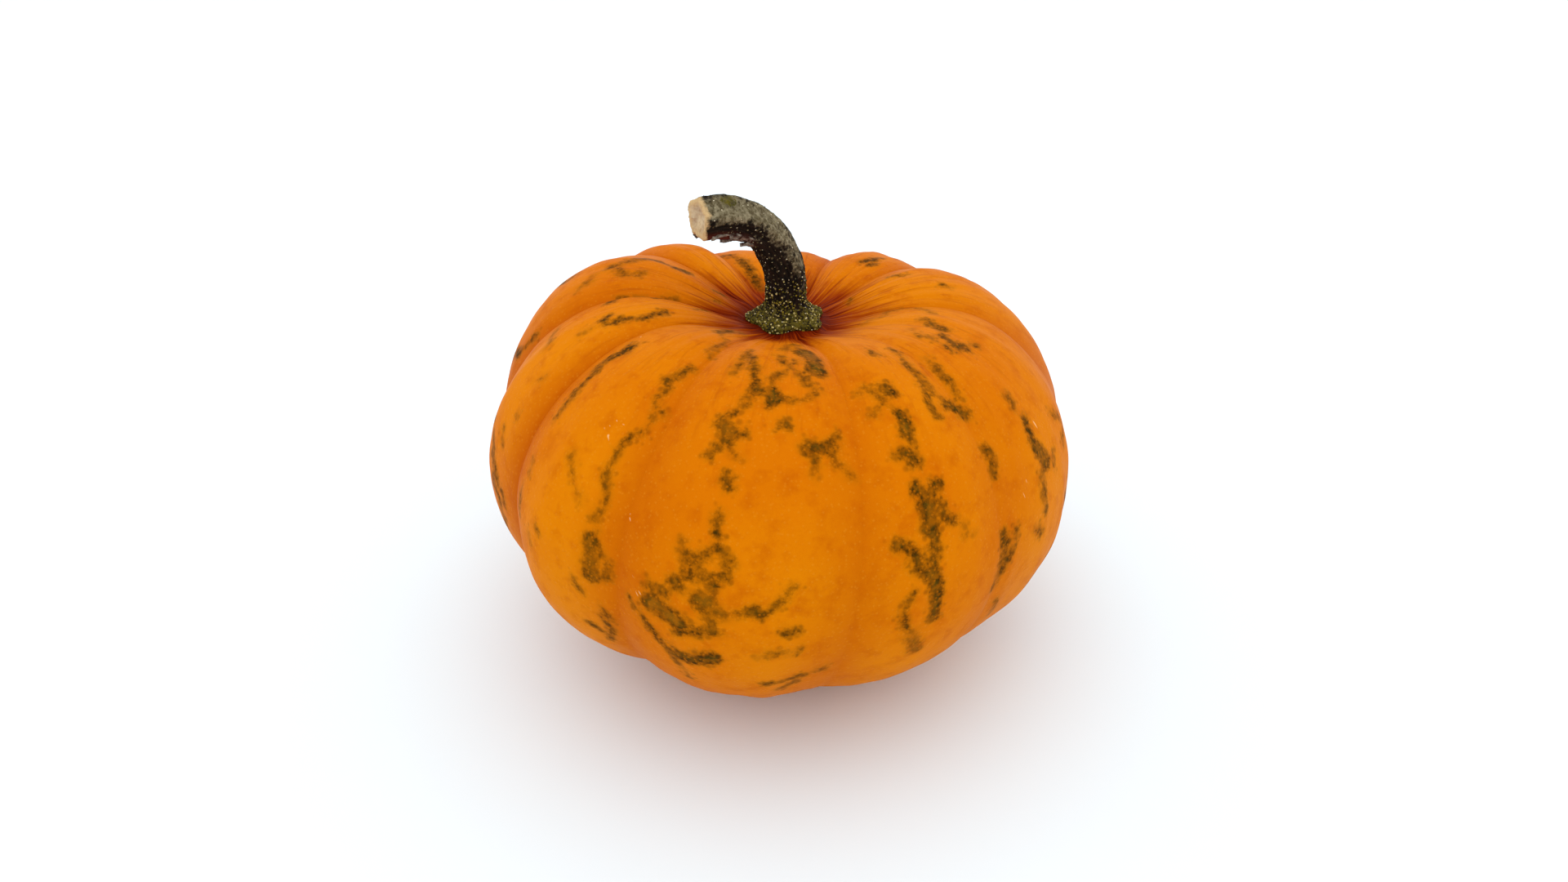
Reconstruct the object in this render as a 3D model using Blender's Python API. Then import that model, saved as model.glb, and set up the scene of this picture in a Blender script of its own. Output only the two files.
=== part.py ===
"""A small ribbed pumpkin that rests on a flat spot, with its dried, bent stem.

The fruit is one grown piece: a squat body with ten uneven ribs, a hollow in the crown where the
stem grew, and a shallow blossom hollow underneath. The stem is the other piece: a spreading
five-toed foot in the crown hollow, then a five-ridged shank that rises and bends over to a cut
end. Metres, +Z up. The origin is under the middle of the object, on the surface it rests on.
"""

import math

import bmesh
import bpy
from mathutils import Matrix, Vector

# ---- Fruit: the body before its ribs -------------------------------------------------------
FRUIT_RADIUS = 0.063          # core line to skin at the widest level
SHOULDER_HEIGHT = 0.0388      # widest level up to the crown, before the crown hollow
BELLY_DEPTH = 0.0463          # widest level down to the underside, before the blossom hollow
SHOULDER_FULLNESS = 0.75      # below 1 the shoulders are squarer than an ellipse
BELLY_FULLNESS = 0.97
CROWN_HOLLOW_DEPTH = 0.0139
CROWN_HOLLOW_SPREAD = 0.025   # radius at which the crown hollow is down to about a third
BLOSSOM_HOLLOW_DEPTH = 0.005
BLOSSOM_HOLLOW_SPREAD = 0.014
FRUIT_LEAN = math.radians(3.2)    # the core line leans towards +X
REST_FLAT = 0.0024            # depth of underside that is pressed flat where the fruit lies

# ---- Fruit: the ribs, one row for each furrow and the rib that follows it ------------------
# Angles go round the core line from the front (-Y) towards the right (+X), in degrees.
# furrow angle, furrow twist from widest level to crown, furrow depth, rib bulge, shoulder lift
RIBS = (
    (-151.0, 0.0, 0.0034, 0.0006, 0.0000),
    (-126.0, 0.0, 0.0033, -0.0026, 0.0036),
    (-82.0, 0.0, 0.0034, -0.0016, -0.0010),
    (-55.0, 0.0, 0.0032, 0.0015, -0.0020),
    (-26.0, 2.0, 0.0023, 0.0033, -0.0010),
    (12.0, 2.0, 0.0019, 0.0008, 0.0000),
    (40.0, -1.0, 0.0014, -0.0006, 0.0000),
    (80.0, 8.0, 0.0028, -0.0010, 0.0022),
    (131.0, 0.0, 0.0034, 0.0000, -0.0010),
    (163.0, 0.0, 0.0040, -0.0018, -0.0045),
)
FURROW_SHARPNESS_CROWN = 0.7      # power of the rib's arch: below 1 the furrow is a crease
FURROW_SHARPNESS_SIDE = 0.9
SHOULDER_LIFT_GAIN = 1.3

# ---- Stem ----------------------------------------------------------------------------------
FOOT_RADIUS = 0.0084          # core line to the tips of the foot's toes
FOOT_VALLEY_RADIUS = 0.0065   # core line to the foot between two toes
FOOT_THICKNESS = 0.0008       # upright edge of the toes
FOOT_RISE = 0.0048            # height over which the foot draws in to the shank
FOOT_RINGS = (0.12, 0.3, 0.55, 1.0)   # shares of that height, closer where the foot flares
SHANK_RADIUS = 0.0041
SHANK_RIDGE = 0.0003          # how far the five ridges stand out, and the valleys in
TIP_RADIUS = 0.0039
SHANK_RISE = 0.0064           # straight part, from the seat to where the bend starts
BEND_RADIUS = 0.0180          # of the shank's middle line
BEND_ANGLE = math.radians(90.0)
TIP_LENGTH = 0.0020           # straight part past the bend
BEND_HEADING = math.radians(-57.0)    # the way the stem bends over, as a rib angle
RIDGE_COUNT = 5
CUT_CHAMFER = 0.0005          # broken edge of the cut end

# ---- Fit of the stem in the crown hollow ---------------------------------------------------
SEAT_MARGIN = 0.0010          # flat seat beyond the toes
SEAT_GAP = 0.0003             # clearance between the seat and the foot
SEAT_BLEND = 0.0060           # distance over which the furrows start outside the seat

# ---- Fineness of the meshes ----------------------------------------------------------------
COLUMNS_PER_RIB = 8
FRUIT_ROWS = 34
ROW_CROWDING = 1.3            # above 1 the rows crowd towards the crown
STEM_SIDES = 30
BEND_RINGS = 12
SLOPE_STEP = 0.001            # change of polar angle, in radians, used to find a slope
FRUIT_SHARP_ANGLE = math.radians(60.0)    # edges sharper than this are shaded as edges
STEM_SHARP_ANGLE = math.radians(40.0)


def smoothstep(value):
    """Ease from 0 to 1, flat at both ends."""
    t = min(max(value, 0.0), 1.0)
    return t * t * (3.0 - 2.0 * t)


def mix(a, b, share):
    return a + (b - a) * share


def heading_vector(angle):
    """Level direction at an angle counted from the front (-Y) towards the right (+X)."""
    return Vector((math.sin(angle), -math.cos(angle), 0.0))


# ---- Fruit ---------------------------------------------------------------------------------
SEAT_RADIUS = FOOT_RADIUS + SEAT_MARGIN


def polar_angle_at(radius):
    """Angle from the upper core line at which the unribbed body has this radius."""
    return math.asin((radius / FRUIT_RADIUS) ** (1.0 / SHOULDER_FULLNESS))


def meridian(polar):
    """Radius and height of the unribbed body, from the widest level."""
    sine = max(math.sin(polar), 0.0)
    cosine = math.cos(polar)
    if cosine >= 0.0:
        radius = FRUIT_RADIUS * sine ** SHOULDER_FULLNESS
        hollow = CROWN_HOLLOW_DEPTH * math.exp(-(radius / CROWN_HOLLOW_SPREAD) ** 2)
        return radius, SHOULDER_HEIGHT * cosine - hollow
    radius = FRUIT_RADIUS * sine ** BELLY_FULLNESS
    hollow = BLOSSOM_HOLLOW_DEPTH * math.exp(-(radius / BLOSSOM_HOLLOW_SPREAD) ** 2)
    return radius, BELLY_DEPTH * cosine + hollow


def meridian_normal(polar):
    """Outward direction of the unribbed body in its radius and height plane."""
    radius_a, height_a = meridian(max(polar - SLOPE_STEP, 0.0))
    radius_b, height_b = meridian(min(polar + SLOPE_STEP, math.pi))
    run, fall = radius_b - radius_a, height_b - height_a
    length = math.hypot(run, fall)
    return -fall / length, run / length


def rib_columns():
    """One entry for each column of skin: its rib, and how far across the rib it is."""
    columns = []
    for index in range(len(RIBS)):
        for step in range(COLUMNS_PER_RIB):
            columns.append((index, step / COLUMNS_PER_RIB))
    return columns


def rib_width(index):
    """Width in degrees of the rib that follows a furrow."""
    return (RIBS[(index + 1) % len(RIBS)][0] - RIBS[index][0]) % 360.0


def crest_value(index, across, item):
    """A rib's own value at its crest, eased into its neighbour's, half and half at a furrow."""
    neighbour = (index - 1 if across < 0.5 else index + 1) % len(RIBS)
    return mix(RIBS[index][item], RIBS[neighbour][item], smoothstep(abs(across - 0.5)))


def skin_point(index, across, polar):
    """A point of the ribbed skin around an upright core line, from the widest level."""
    here, after = RIBS[index], RIBS[(index + 1) % len(RIBS)]
    sine, cosine = max(math.sin(polar), 0.0), math.cos(polar)
    radius, height = meridian(polar)
    normal_out, normal_up = meridian_normal(polar)

    crown = smoothstep(cosine)
    sharpness = mix(FURROW_SHARPNESS_SIDE, FURROW_SHARPNESS_CROWN, crown)
    arch = math.sin(math.pi * across) ** sharpness
    depth = mix(here[2], after[2], across) * (1.0 - arch) * math.sqrt(sine)
    depth *= smoothstep((radius - SEAT_RADIUS) / SEAT_BLEND) if cosine > 0.0 else 1.0

    bulge = crest_value(index, across, 3) * radius / FRUIT_RADIUS
    lift = crest_value(index, across, 4) * SHOULDER_LIFT_GAIN * sine * math.sqrt(max(cosine, 0.0))
    twist = mix(here[1], after[1], across) * cosine
    angle = math.radians(here[0] + across * rib_width(index) + twist)
    out = heading_vector(angle) * (radius + bulge - normal_out * depth)
    return out + Vector((0.0, 0.0, height - normal_up * depth + lift))


def build_fruit():
    """The ribbed body with a level seat in its crown hollow and a flat resting spot."""
    lean = Matrix.Rotation(FRUIT_LEAN, 3, "Y")
    seat_polar = polar_angle_at(SEAT_RADIUS)
    seat_centre = lean @ Vector((0.0, 0.0, meridian(seat_polar)[1]))
    columns = rib_columns()

    body = bmesh.new()
    rings = []
    for row in range(FRUIT_ROWS):
        share = (row / FRUIT_ROWS) ** ROW_CROWDING
        polar = mix(seat_polar, math.pi, share)
        ring = []
        for index, across in columns:
            point = lean @ skin_point(index, across, polar)
            if row == 0:
                level = point - seat_centre
                level.z = 0.0
                point = seat_centre + level.normalized() * SEAT_RADIUS
            ring.append(body.verts.new(point))
        rings.append(ring)
    seat = body.verts.new(seat_centre)
    pole = body.verts.new(lean @ Vector((0.0, 0.0, meridian(math.pi)[1])))

    count = len(columns)
    for column in range(count):
        following = (column + 1) % count
        body.faces.new((seat, rings[0][column], rings[0][following]))
        for upper, lower in zip(rings, rings[1:]):
            corners = (upper[column], lower[column], lower[following], upper[following])
            body.faces.new(corners)
        body.faces.new((rings[-1][column], pole, rings[-1][following]))

    rest_level = min(vert.co.z for vert in body.verts) + REST_FLAT
    for vert in body.verts:
        vert.co.z = max(vert.co.z, rest_level)

    low = [min(vert.co[axis] for vert in body.verts) for axis in range(3)]
    high = [max(vert.co[axis] for vert in body.verts) for axis in range(3)]
    shift = Vector((-(low[0] + high[0]) / 2.0, -(low[1] + high[1]) / 2.0, -rest_level))
    bmesh.ops.translate(body, verts=body.verts, vec=shift)
    bmesh.ops.recalc_face_normals(body, faces=body.faces)
    return body, seat_centre + shift


# ---- Stem ----------------------------------------------------------------------------------
def stem_stations():
    """Stations up the stem: middle point, direction, toe or ridge radius, valley radius."""
    heading = heading_vector(BEND_HEADING)
    upright = Vector((0.0, 0.0, 1.0))
    ridge = SHANK_RADIUS + SHANK_RIDGE
    valley = SHANK_RADIUS - SHANK_RIDGE
    result = [
        (Vector((0.0, 0.0, 0.0)), upright, FOOT_RADIUS, FOOT_VALLEY_RADIUS),
        (upright * FOOT_THICKNESS, upright, FOOT_RADIUS, FOOT_VALLEY_RADIUS),
    ]
    for share in FOOT_RINGS:
        flare = (1.0 - share) ** 2
        height = mix(FOOT_THICKNESS, FOOT_RISE, share)
        outer = mix(ridge, FOOT_RADIUS, flare)
        inner = mix(valley, FOOT_VALLEY_RADIUS, flare)
        result.append((upright * height, upright, outer, inner))

    centre = upright * SHANK_RISE + heading * BEND_RADIUS
    for step in range(BEND_RINGS + 1):
        turned = BEND_ANGLE * step / BEND_RINGS
        spoke = upright * math.sin(turned) - heading * math.cos(turned)
        middle = centre + spoke * BEND_RADIUS
        along = heading * math.sin(turned) + upright * math.cos(turned)
        thin = (TIP_RADIUS - SHANK_RADIUS) * step / BEND_RINGS
        result.append((middle, along, ridge + thin, valley + thin))

    middle, along, outer, inner = result[-1]
    result.append((middle + along * (TIP_LENGTH - CUT_CHAMFER), along, outer, inner))
    cut_outer, cut_inner = outer - CUT_CHAMFER, inner - CUT_CHAMFER
    result.append((middle + along * TIP_LENGTH, along, cut_outer, cut_inner))
    return result


def build_stem():
    """Five-toed foot, ridged shank and cut end, standing on the level z = 0."""
    sideways = heading_vector(BEND_HEADING + math.pi / 2.0)
    body = bmesh.new()
    rings = []
    for middle, along, outer, inner in stem_stations():
        across = sideways.cross(along)
        ring = []
        for side in range(STEM_SIDES):
            angle = 2.0 * math.pi * side / STEM_SIDES
            crest = 0.5 + 0.5 * math.cos(RIDGE_COUNT * angle)
            spoke = across * math.cos(angle) + sideways * math.sin(angle)
            ring.append(body.verts.new(middle + spoke * mix(inner, outer, crest)))
        rings.append(ring)
    for lower, upper in zip(rings, rings[1:]):
        for side in range(STEM_SIDES):
            following = (side + 1) % STEM_SIDES
            body.faces.new((lower[side], lower[following], upper[following], upper[side]))
    body.faces.new(rings[0])
    body.faces.new(rings[-1])
    bmesh.ops.recalc_face_normals(body, faces=body.faces)
    return body


# ---- Objects and materials -----------------------------------------------------------------
def make_material(name, colour, roughness):
    material = bpy.data.materials.new(name)
    material.use_nodes = True
    shader = material.node_tree.nodes["Principled BSDF"]
    shader.inputs["Base Color"].default_value = (*colour, 1.0)
    shader.inputs["Roughness"].default_value = roughness
    shader.inputs["Metallic"].default_value = 0.0
    material.diffuse_color = (*colour, 1.0)
    return material


def make_object(name, body, material, location, sharp_angle):
    mesh = bpy.data.meshes.new(name)
    body.to_mesh(mesh)
    body.free()
    mesh.materials.append(material)
    mesh.shade_smooth()
    mesh.set_sharp_from_angle(angle=sharp_angle)
    piece = bpy.data.objects.new(name, mesh)
    piece.location = location
    bpy.context.scene.collection.objects.link(piece)
    return piece


for leftover in list(bpy.data.objects):
    bpy.data.objects.remove(leftover, do_unlink=True)

fruit_body, seat_point = build_fruit()
orange_skin = make_material("orange_rind", (0.76, 0.21, 0.003), 0.42)
make_object("fruit", fruit_body, orange_skin, Vector((0.0, 0.0, 0.0)), FRUIT_SHARP_ANGLE)

foot_point = seat_point + Vector((0.0, 0.0, SEAT_GAP))
dry_stem = make_material("dry_stem", (0.07, 0.055, 0.03), 0.8)
make_object("stem", build_stem(), dry_stem, foot_point, STEM_SHARP_ANGLE)
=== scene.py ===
"""A small ribbed pumpkin with a dried, bent stem, resting on a pale floor.

The fruit comes first: its body, the blotches on it and its rind. Then come the stem with its
cut end, the moss and lichen on it and its torn bark, and last the floor, the light and the
camera. Lengths are in metres, +Z is up, and the pumpkin rests on z = 0.
"""

import math
import random

import bpy
import numpy as np
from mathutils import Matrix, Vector, noise


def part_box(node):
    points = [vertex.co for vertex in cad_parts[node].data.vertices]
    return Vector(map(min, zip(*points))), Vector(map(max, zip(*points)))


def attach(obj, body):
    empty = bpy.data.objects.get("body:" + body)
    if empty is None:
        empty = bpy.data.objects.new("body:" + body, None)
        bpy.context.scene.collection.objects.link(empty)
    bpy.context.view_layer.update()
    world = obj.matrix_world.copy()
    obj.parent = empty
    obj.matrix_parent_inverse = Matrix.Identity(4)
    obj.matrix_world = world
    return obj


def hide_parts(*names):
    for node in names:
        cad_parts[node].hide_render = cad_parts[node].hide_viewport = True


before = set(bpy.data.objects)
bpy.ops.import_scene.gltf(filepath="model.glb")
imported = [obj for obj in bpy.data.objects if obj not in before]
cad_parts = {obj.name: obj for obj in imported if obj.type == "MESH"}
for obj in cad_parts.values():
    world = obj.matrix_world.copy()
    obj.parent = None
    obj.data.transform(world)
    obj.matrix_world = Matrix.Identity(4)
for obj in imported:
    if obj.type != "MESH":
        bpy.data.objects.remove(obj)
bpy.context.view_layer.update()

# ---- Fruit ---------------------------------------------------------------------------------
# The pumpkin itself: one grown body of ten uneven ribs with a hollow crown and a flat spot that
# it lies on. Its rind is a hard, waxy skin, drawn in along ten furrows from stem to blossom.
FRUIT_RADIUS = 0.063
SHOULDER_HEIGHT = 0.0388      # widest level up to the crown, before the crown hollow
BELLY_DEPTH = 0.0463          # widest level down to the underside, before the blossom hollow
SEAT_RADIUS = 0.0094          # level patch of skin that the stem stands on
FRUIT_LEAN = math.radians(3.2)

# Furrow angle and twist in degrees, furrow depth, then the bulge and lift of the rib after it.
# Angles go round the core line from the front (-Y) towards the right (+X).
RIBS = (
    (-151.0, 0.0, 0.0034, 0.0006, 0.0000),
    (-126.0, 0.0, 0.0033, -0.0026, 0.0036),
    (-82.0, 0.0, 0.0034, -0.0016, -0.0010),
    (-55.0, 0.0, 0.0032, 0.0015, -0.0020),
    (-26.0, 2.0, 0.0023, 0.0033, -0.0010),
    (12.0, 2.0, 0.0019, 0.0008, 0.0000),
    (40.0, -1.0, 0.0014, -0.0006, 0.0000),
    (80.0, 8.0, 0.0028, -0.0010, 0.0022),
    (131.0, 0.0, 0.0034, 0.0000, -0.0010),
    (163.0, 0.0, 0.0040, -0.0018, -0.0045),
)
SHOULDER_LIFT_GAIN = 1.3
# The deeper orange painted into a furrow as its shade is full at this depth.
DEEP_FURROW = 0.0036          # depth at which a furrow shows its full colour

FRUIT_SIZES = {
    "Radius": FRUIT_RADIUS,
    "Shoulder height": SHOULDER_HEIGHT,
    "Belly depth": BELLY_DEPTH,
    "Shoulder fullness": 0.75,
    "Belly fullness": 0.97,
    "Crown hollow": 0.0139,
    "Crown hollow spread": 0.025,
    "Blossom hollow": 0.005,
    "Blossom hollow spread": 0.014,
    "Furrow sharpness, side": 0.9,
    "Furrow sharpness, crown": 0.7,
    "Seat radius": SEAT_RADIUS,
    "Seat blend": 0.006,
    "Lean": FRUIT_LEAN,
    "Flat depth": 0.0024,
    "Flat rounding": 0.0012,
    "Lumps": 0.0009,
    "Ripples": 0.0011,
    "Wrinkles": 0.0003,
}


def linear(code):
    """A colour written as sRGB hex, as the linear values that the shaders use."""
    parts = [int(code[start:start + 2], 16) / 255 for start in (1, 3, 5)]
    return (*[p / 12.92 if p <= 0.04045 else ((p + 0.055) / 1.055) ** 2.4 for p in parts], 1.0)


def put(tree, kind, values=(), **settings):
    """Adds a node: its own settings, then values or links on its sockets, by order or by name."""
    node = tree.nodes.new(kind)
    node.location = (190 * (len(tree.nodes) % 12), -230 * (len(tree.nodes) // 12))
    for name, setting in settings.items():
        setattr(node, name, setting)
    sockets = [socket for socket in node.inputs if socket.enabled]
    if isinstance(values, dict):
        pairs = [(next(s for s in sockets if s.name == name), values[name]) for name in values]
    else:
        pairs = list(zip(sockets, values))
    for socket, value in pairs:
        if isinstance(value, bpy.types.Node):
            value = next(output for output in value.outputs if output.enabled)
        if isinstance(value, bpy.types.NodeSocket):
            tree.links.new(value, socket)
        else:
            socket.default_value = value
    return node


def new_rule(name, sizes):
    """A node tree for a shape, with one named input for each size, and its input's sockets."""
    tree = bpy.data.node_groups.new(name, "GeometryNodeTree")
    tree.interface.new_socket("Geometry", in_out="INPUT", socket_type="NodeSocketGeometry")
    tree.interface.new_socket("Geometry", in_out="OUTPUT", socket_type="NodeSocketGeometry")
    for size, value in sizes.items():
        kind = "NodeSocketVector" if isinstance(value, (tuple, Vector)) else "NodeSocketFloat"
        tree.interface.new_socket(size, in_out="INPUT", socket_type=kind)
    return tree, put(tree, "NodeGroupInput").outputs


def grown(name, base, tree, sizes):
    """An object whose plain mesh is what the tree makes of the base mesh with these sizes."""
    piece = bpy.data.objects.new(name, base)
    bpy.context.scene.collection.objects.link(piece)
    modifier = piece.modifiers.new("shape", "NODES")
    modifier.node_group = tree
    for item in tree.interface.items_tree:
        if item.in_out == "INPUT" and item.name in sizes:
            modifier[item.identifier] = sizes[item.name]
    depsgraph = bpy.context.evaluated_depsgraph_get()
    ready = piece.evaluated_get(depsgraph)
    mesh = bpy.data.meshes.new_from_object(ready, preserve_all_data_layers=True, depsgraph=depsgraph)
    mesh.name = name
    piece.modifiers.remove(modifier)
    piece.data = mesh
    return piece


# The ribs as a row of points that the tree looks values up in. It holds one rib more before the
# first and two more after the last, so that a look-up never has to wrap.
row = bpy.data.meshes.new("rib_row")
row_ribs = [(index // len(RIBS), RIBS[index % len(RIBS)]) for index in range(-1, len(RIBS) + 2)]
row.from_pydata([(0.0, 0.0, 0.0)] * len(row_ribs), [], [])
furrows = row.attributes.new("furrow_values", "FLOAT_VECTOR", "POINT")
crests = row.attributes.new("crest_values", "FLOAT_VECTOR", "POINT")
for number, (turn, (angle, twist, depth, bulge, lift)) in enumerate(row_ribs):
    furrows.data[number].vector = (math.radians(angle) + turn * math.tau, math.radians(twist), depth)
    crests.data[number].vector = (bulge, lift * SHOULDER_LIFT_GAIN, 0.0)

rind = bpy.data.materials.new("waxy_orange_rind")
body, size = new_rule("ribbed_fruit", FRUIT_SIZES)

# Every point of a ball gets a polar angle from the crown and a place along the row of ribs.
ball = put(body, "GeometryNodeMeshUVSphere", {"Segments": 400, "Rings": 240, "Radius": 1.0})
spot = put(body, "ShaderNodeSeparateXYZ", (put(body, "GeometryNodeInputPosition"),)).outputs
polar = put(body, "ShaderNodeMath", (spot["Z"],), operation="ARCCOSINE")
cosine = spot["Z"]
sine = put(body, "ShaderNodeMath", (put(body, "ShaderNodeMath", (polar,), operation="SINE"), 1e-4),
           operation="MAXIMUM")
heading = put(body, "ShaderNodeMath", (spot["Y"], spot["X"]), operation="ARCTAN2")
along_row = put(body, "ShaderNodeMapRange", {"Value": heading, "From Min": -math.pi,
                "From Max": math.pi, "To Min": 0.0, "To Max": float(len(RIBS))})
rib = put(body, "ShaderNodeMath", (along_row,), operation="FLOOR")
across = put(body, "ShaderNodeMath", (along_row,), operation="FRACT")

# Furrow values change evenly from one furrow to the next; crest values ease from crest to crest.
named_furrow = put(body, "GeometryNodeInputNamedAttribute", ("furrow_values",),
                   data_type="FLOAT_VECTOR")
named_crest = put(body, "GeometryNodeInputNamedAttribute", ("crest_values",),
                  data_type="FLOAT_VECTOR")
before_crest = put(body, "ShaderNodeMath", (along_row, 0.5), operation="SUBTRACT")
crest = put(body, "ShaderNodeMath", (before_crest,), operation="FLOOR")
crest_share = put(body, "ShaderNodeMapRange", {"Value": put(body, "ShaderNodeMath", (before_crest,),
                  operation="FRACT")}, interpolation_type="SMOOTHSTEP")
looked_up = []
for attribute, first in ((named_furrow, rib), (named_crest, crest)):
    for step in (1.0, 2.0):
        index = put(body, "ShaderNodeMath", (first, step), operation="ADD")
        looked_up.append(put(body, "GeometryNodeSampleIndex",
                             {"Geometry": size["Geometry"], "Value": attribute, "Index": index},
                             data_type="FLOAT_VECTOR", clamp=True))
furrow = put(body, "ShaderNodeMix", (across, looked_up[0], looked_up[1]), data_type="VECTOR")
crest = put(body, "ShaderNodeMix", (crest_share, looked_up[2], looked_up[3]), data_type="VECTOR")
angle, twist, depth = put(body, "ShaderNodeSeparateXYZ", (furrow,)).outputs
bulge, lift = put(body, "ShaderNodeSeparateXYZ", (crest,)).outputs[:2]
angle = put(body, "ShaderNodeMath", (twist, cosine, angle), operation="MULTIPLY_ADD")

# The body before its ribs: a squat ellipse above and below the widest level, with a round
# hollow in the crown and a small one at the blossom end.
upper = put(body, "ShaderNodeMath", (cosine, 0.0), operation="GREATER_THAN")
lower = put(body, "ShaderNodeMath", (1.0, upper), operation="SUBTRACT")
height_to = put(body, "ShaderNodeMix", (upper, size["Belly depth"], size["Shoulder height"]))
fullness = put(body, "ShaderNodeMix", (upper, size["Belly fullness"], size["Shoulder fullness"]))
spread = put(body, "ShaderNodeMix", (upper, size["Blossom hollow spread"], size["Crown hollow spread"]))
crown_drop = put(body, "ShaderNodeMath", (size["Crown hollow"], -1.0), operation="MULTIPLY")
hollow = put(body, "ShaderNodeMix", (upper, size["Blossom hollow"], crown_drop))

power = put(body, "ShaderNodeMath", (sine, fullness), operation="POWER")
radius = put(body, "ShaderNodeMath", (power, size["Radius"]), operation="MULTIPLY")
ratio = put(body, "ShaderNodeMath", (radius, spread), operation="DIVIDE")
square = put(body, "ShaderNodeMath", (ratio, ratio), operation="MULTIPLY")
fade = put(body, "ShaderNodeMath", (put(body, "ShaderNodeMath", (square, -1.0),
           operation="MULTIPLY"),), operation="EXPONENT")
dip = put(body, "ShaderNodeMath", (hollow, fade), operation="MULTIPLY")
height = put(body, "ShaderNodeMath", (height_to, cosine, dip), operation="MULTIPLY_ADD")

# Its slope, which gives the direction that furrows are pressed in along.
run = put(body, "ShaderNodeMath", (radius, fullness), operation="MULTIPLY")
run = put(body, "ShaderNodeMath", (run, cosine), operation="MULTIPLY")
run = put(body, "ShaderNodeMath", (run, sine), operation="DIVIDE")
dip_slope = put(body, "ShaderNodeMath", (dip, ratio), operation="MULTIPLY")
dip_slope = put(body, "ShaderNodeMath", (dip_slope, spread), operation="DIVIDE")
dip_slope = put(body, "ShaderNodeMath", (dip_slope, 2.0), operation="MULTIPLY")
out_part = put(body, "ShaderNodeMath", (height_to, sine), operation="MULTIPLY")
out_part = put(body, "ShaderNodeMath", (dip_slope, run, out_part), operation="MULTIPLY_ADD")
slope = put(body, "ShaderNodeCombineXYZ", {"X": out_part, "Z": run})
slope = put(body, "ShaderNodeVectorMath", (slope,), operation="NORMALIZE")
slope = put(body, "ShaderNodeSeparateXYZ", (slope,)).outputs
out_part, up_part = slope["X"], slope["Z"]

# How deep the skin lies below the ribs' crests: an arch from furrow to furrow.
edge = put(body, "ShaderNodeMath", (across, math.pi), operation="MULTIPLY")
arch = put(body, "ShaderNodeMath", (put(body, "ShaderNodeMath", (edge,), operation="SINE"), 0.0),
           operation="MAXIMUM")
near_crown = put(body, "ShaderNodeMapRange", {"Value": cosine}, interpolation_type="SMOOTHSTEP")
sharpness = put(body, "ShaderNodeMix", (near_crown, size["Furrow sharpness, side"],
                                        size["Furrow sharpness, crown"]))
arch = put(body, "ShaderNodeMath", (arch, sharpness), operation="POWER")
arch = put(body, "ShaderNodeMath", (1.0, arch), operation="SUBTRACT")
beyond_seat = put(body, "ShaderNodeMapRange", {
    "Value": put(body, "ShaderNodeMath", (radius, size["Seat radius"]), operation="SUBTRACT"),
    "From Max": size["Seat blend"]}, interpolation_type="SMOOTHSTEP")
beyond_seat = put(body, "ShaderNodeMath", (beyond_seat, lower), operation="MAXIMUM")
root_sine = put(body, "ShaderNodeMath", (sine,), operation="SQRT")
arch_here = put(body, "ShaderNodeMath", (arch, root_sine), operation="MULTIPLY")
arch_here = put(body, "ShaderNodeMath", (arch_here, beyond_seat), operation="MULTIPLY")
pressed = put(body, "ShaderNodeMath", (depth, arch_here), operation="MULTIPLY")
# How far in the skin is folded here, kept for the crown's colour and the painted shade of the furrows.
fold_depth_and_shade = put(body, "ShaderNodeMath", (pressed, DEEP_FURROW), operation="DIVIDE")

# The growth that no rib explains: broad lumps, ripples that run from stem to blossom, and fine
# wrinkles that gather near the crown. The rates are waves in one radian round the fruit.
LUMP_RATE = 3.1
RIPPLE_RATE = 7.5
WRINKLE_RATE = 26.0
RIPPLE_STRETCH = (1.0, 1.0, 0.12)     # ripples are far longer down the fruit than across it
east = put(body, "ShaderNodeMath", (angle,), operation="SINE")
south = put(body, "ShaderNodeMath", (angle,), operation="COSINE")
lengthwise = put(body, "ShaderNodeCombineXYZ", (east, south, polar))
lump = put(body, "ShaderNodeTexNoise", {"Vector": lengthwise, "Scale": LUMP_RATE, "Detail": 1.5})
ripple_place = put(body, "ShaderNodeVectorMath", (lengthwise, RIPPLE_STRETCH), operation="MULTIPLY")
ripple = put(body, "ShaderNodeTexNoise", {"Vector": ripple_place, "Scale": RIPPLE_RATE,
                                          "Detail": 1.0})
wrinkle = put(body, "ShaderNodeTexNoise", {"Vector": ripple_place, "Scale": WRINKLE_RATE,
                                           "Detail": 2.0})
wrinkling = put(body, "ShaderNodeMapRange", {"Value": cosine, "From Min": 0.45, "From Max": 0.95})
wrinkling = put(body, "ShaderNodeMath", (wrinkling, 0.25), operation="ADD")
wrinkling = put(body, "ShaderNodeMath", (wrinkling, beyond_seat), operation="MULTIPLY")
wrinkle_gain = put(body, "ShaderNodeMath", (wrinkling, size["Wrinkles"]), operation="MULTIPLY")
for unevenness, amount in ((lump, size["Lumps"]), (ripple, size["Ripples"]),
                           (wrinkle, wrinkle_gain)):
    centred = put(body, "ShaderNodeMath", (0.5, unevenness), operation="SUBTRACT")
    pressed = put(body, "ShaderNodeMath", (centred, amount, pressed), operation="MULTIPLY_ADD")

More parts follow.
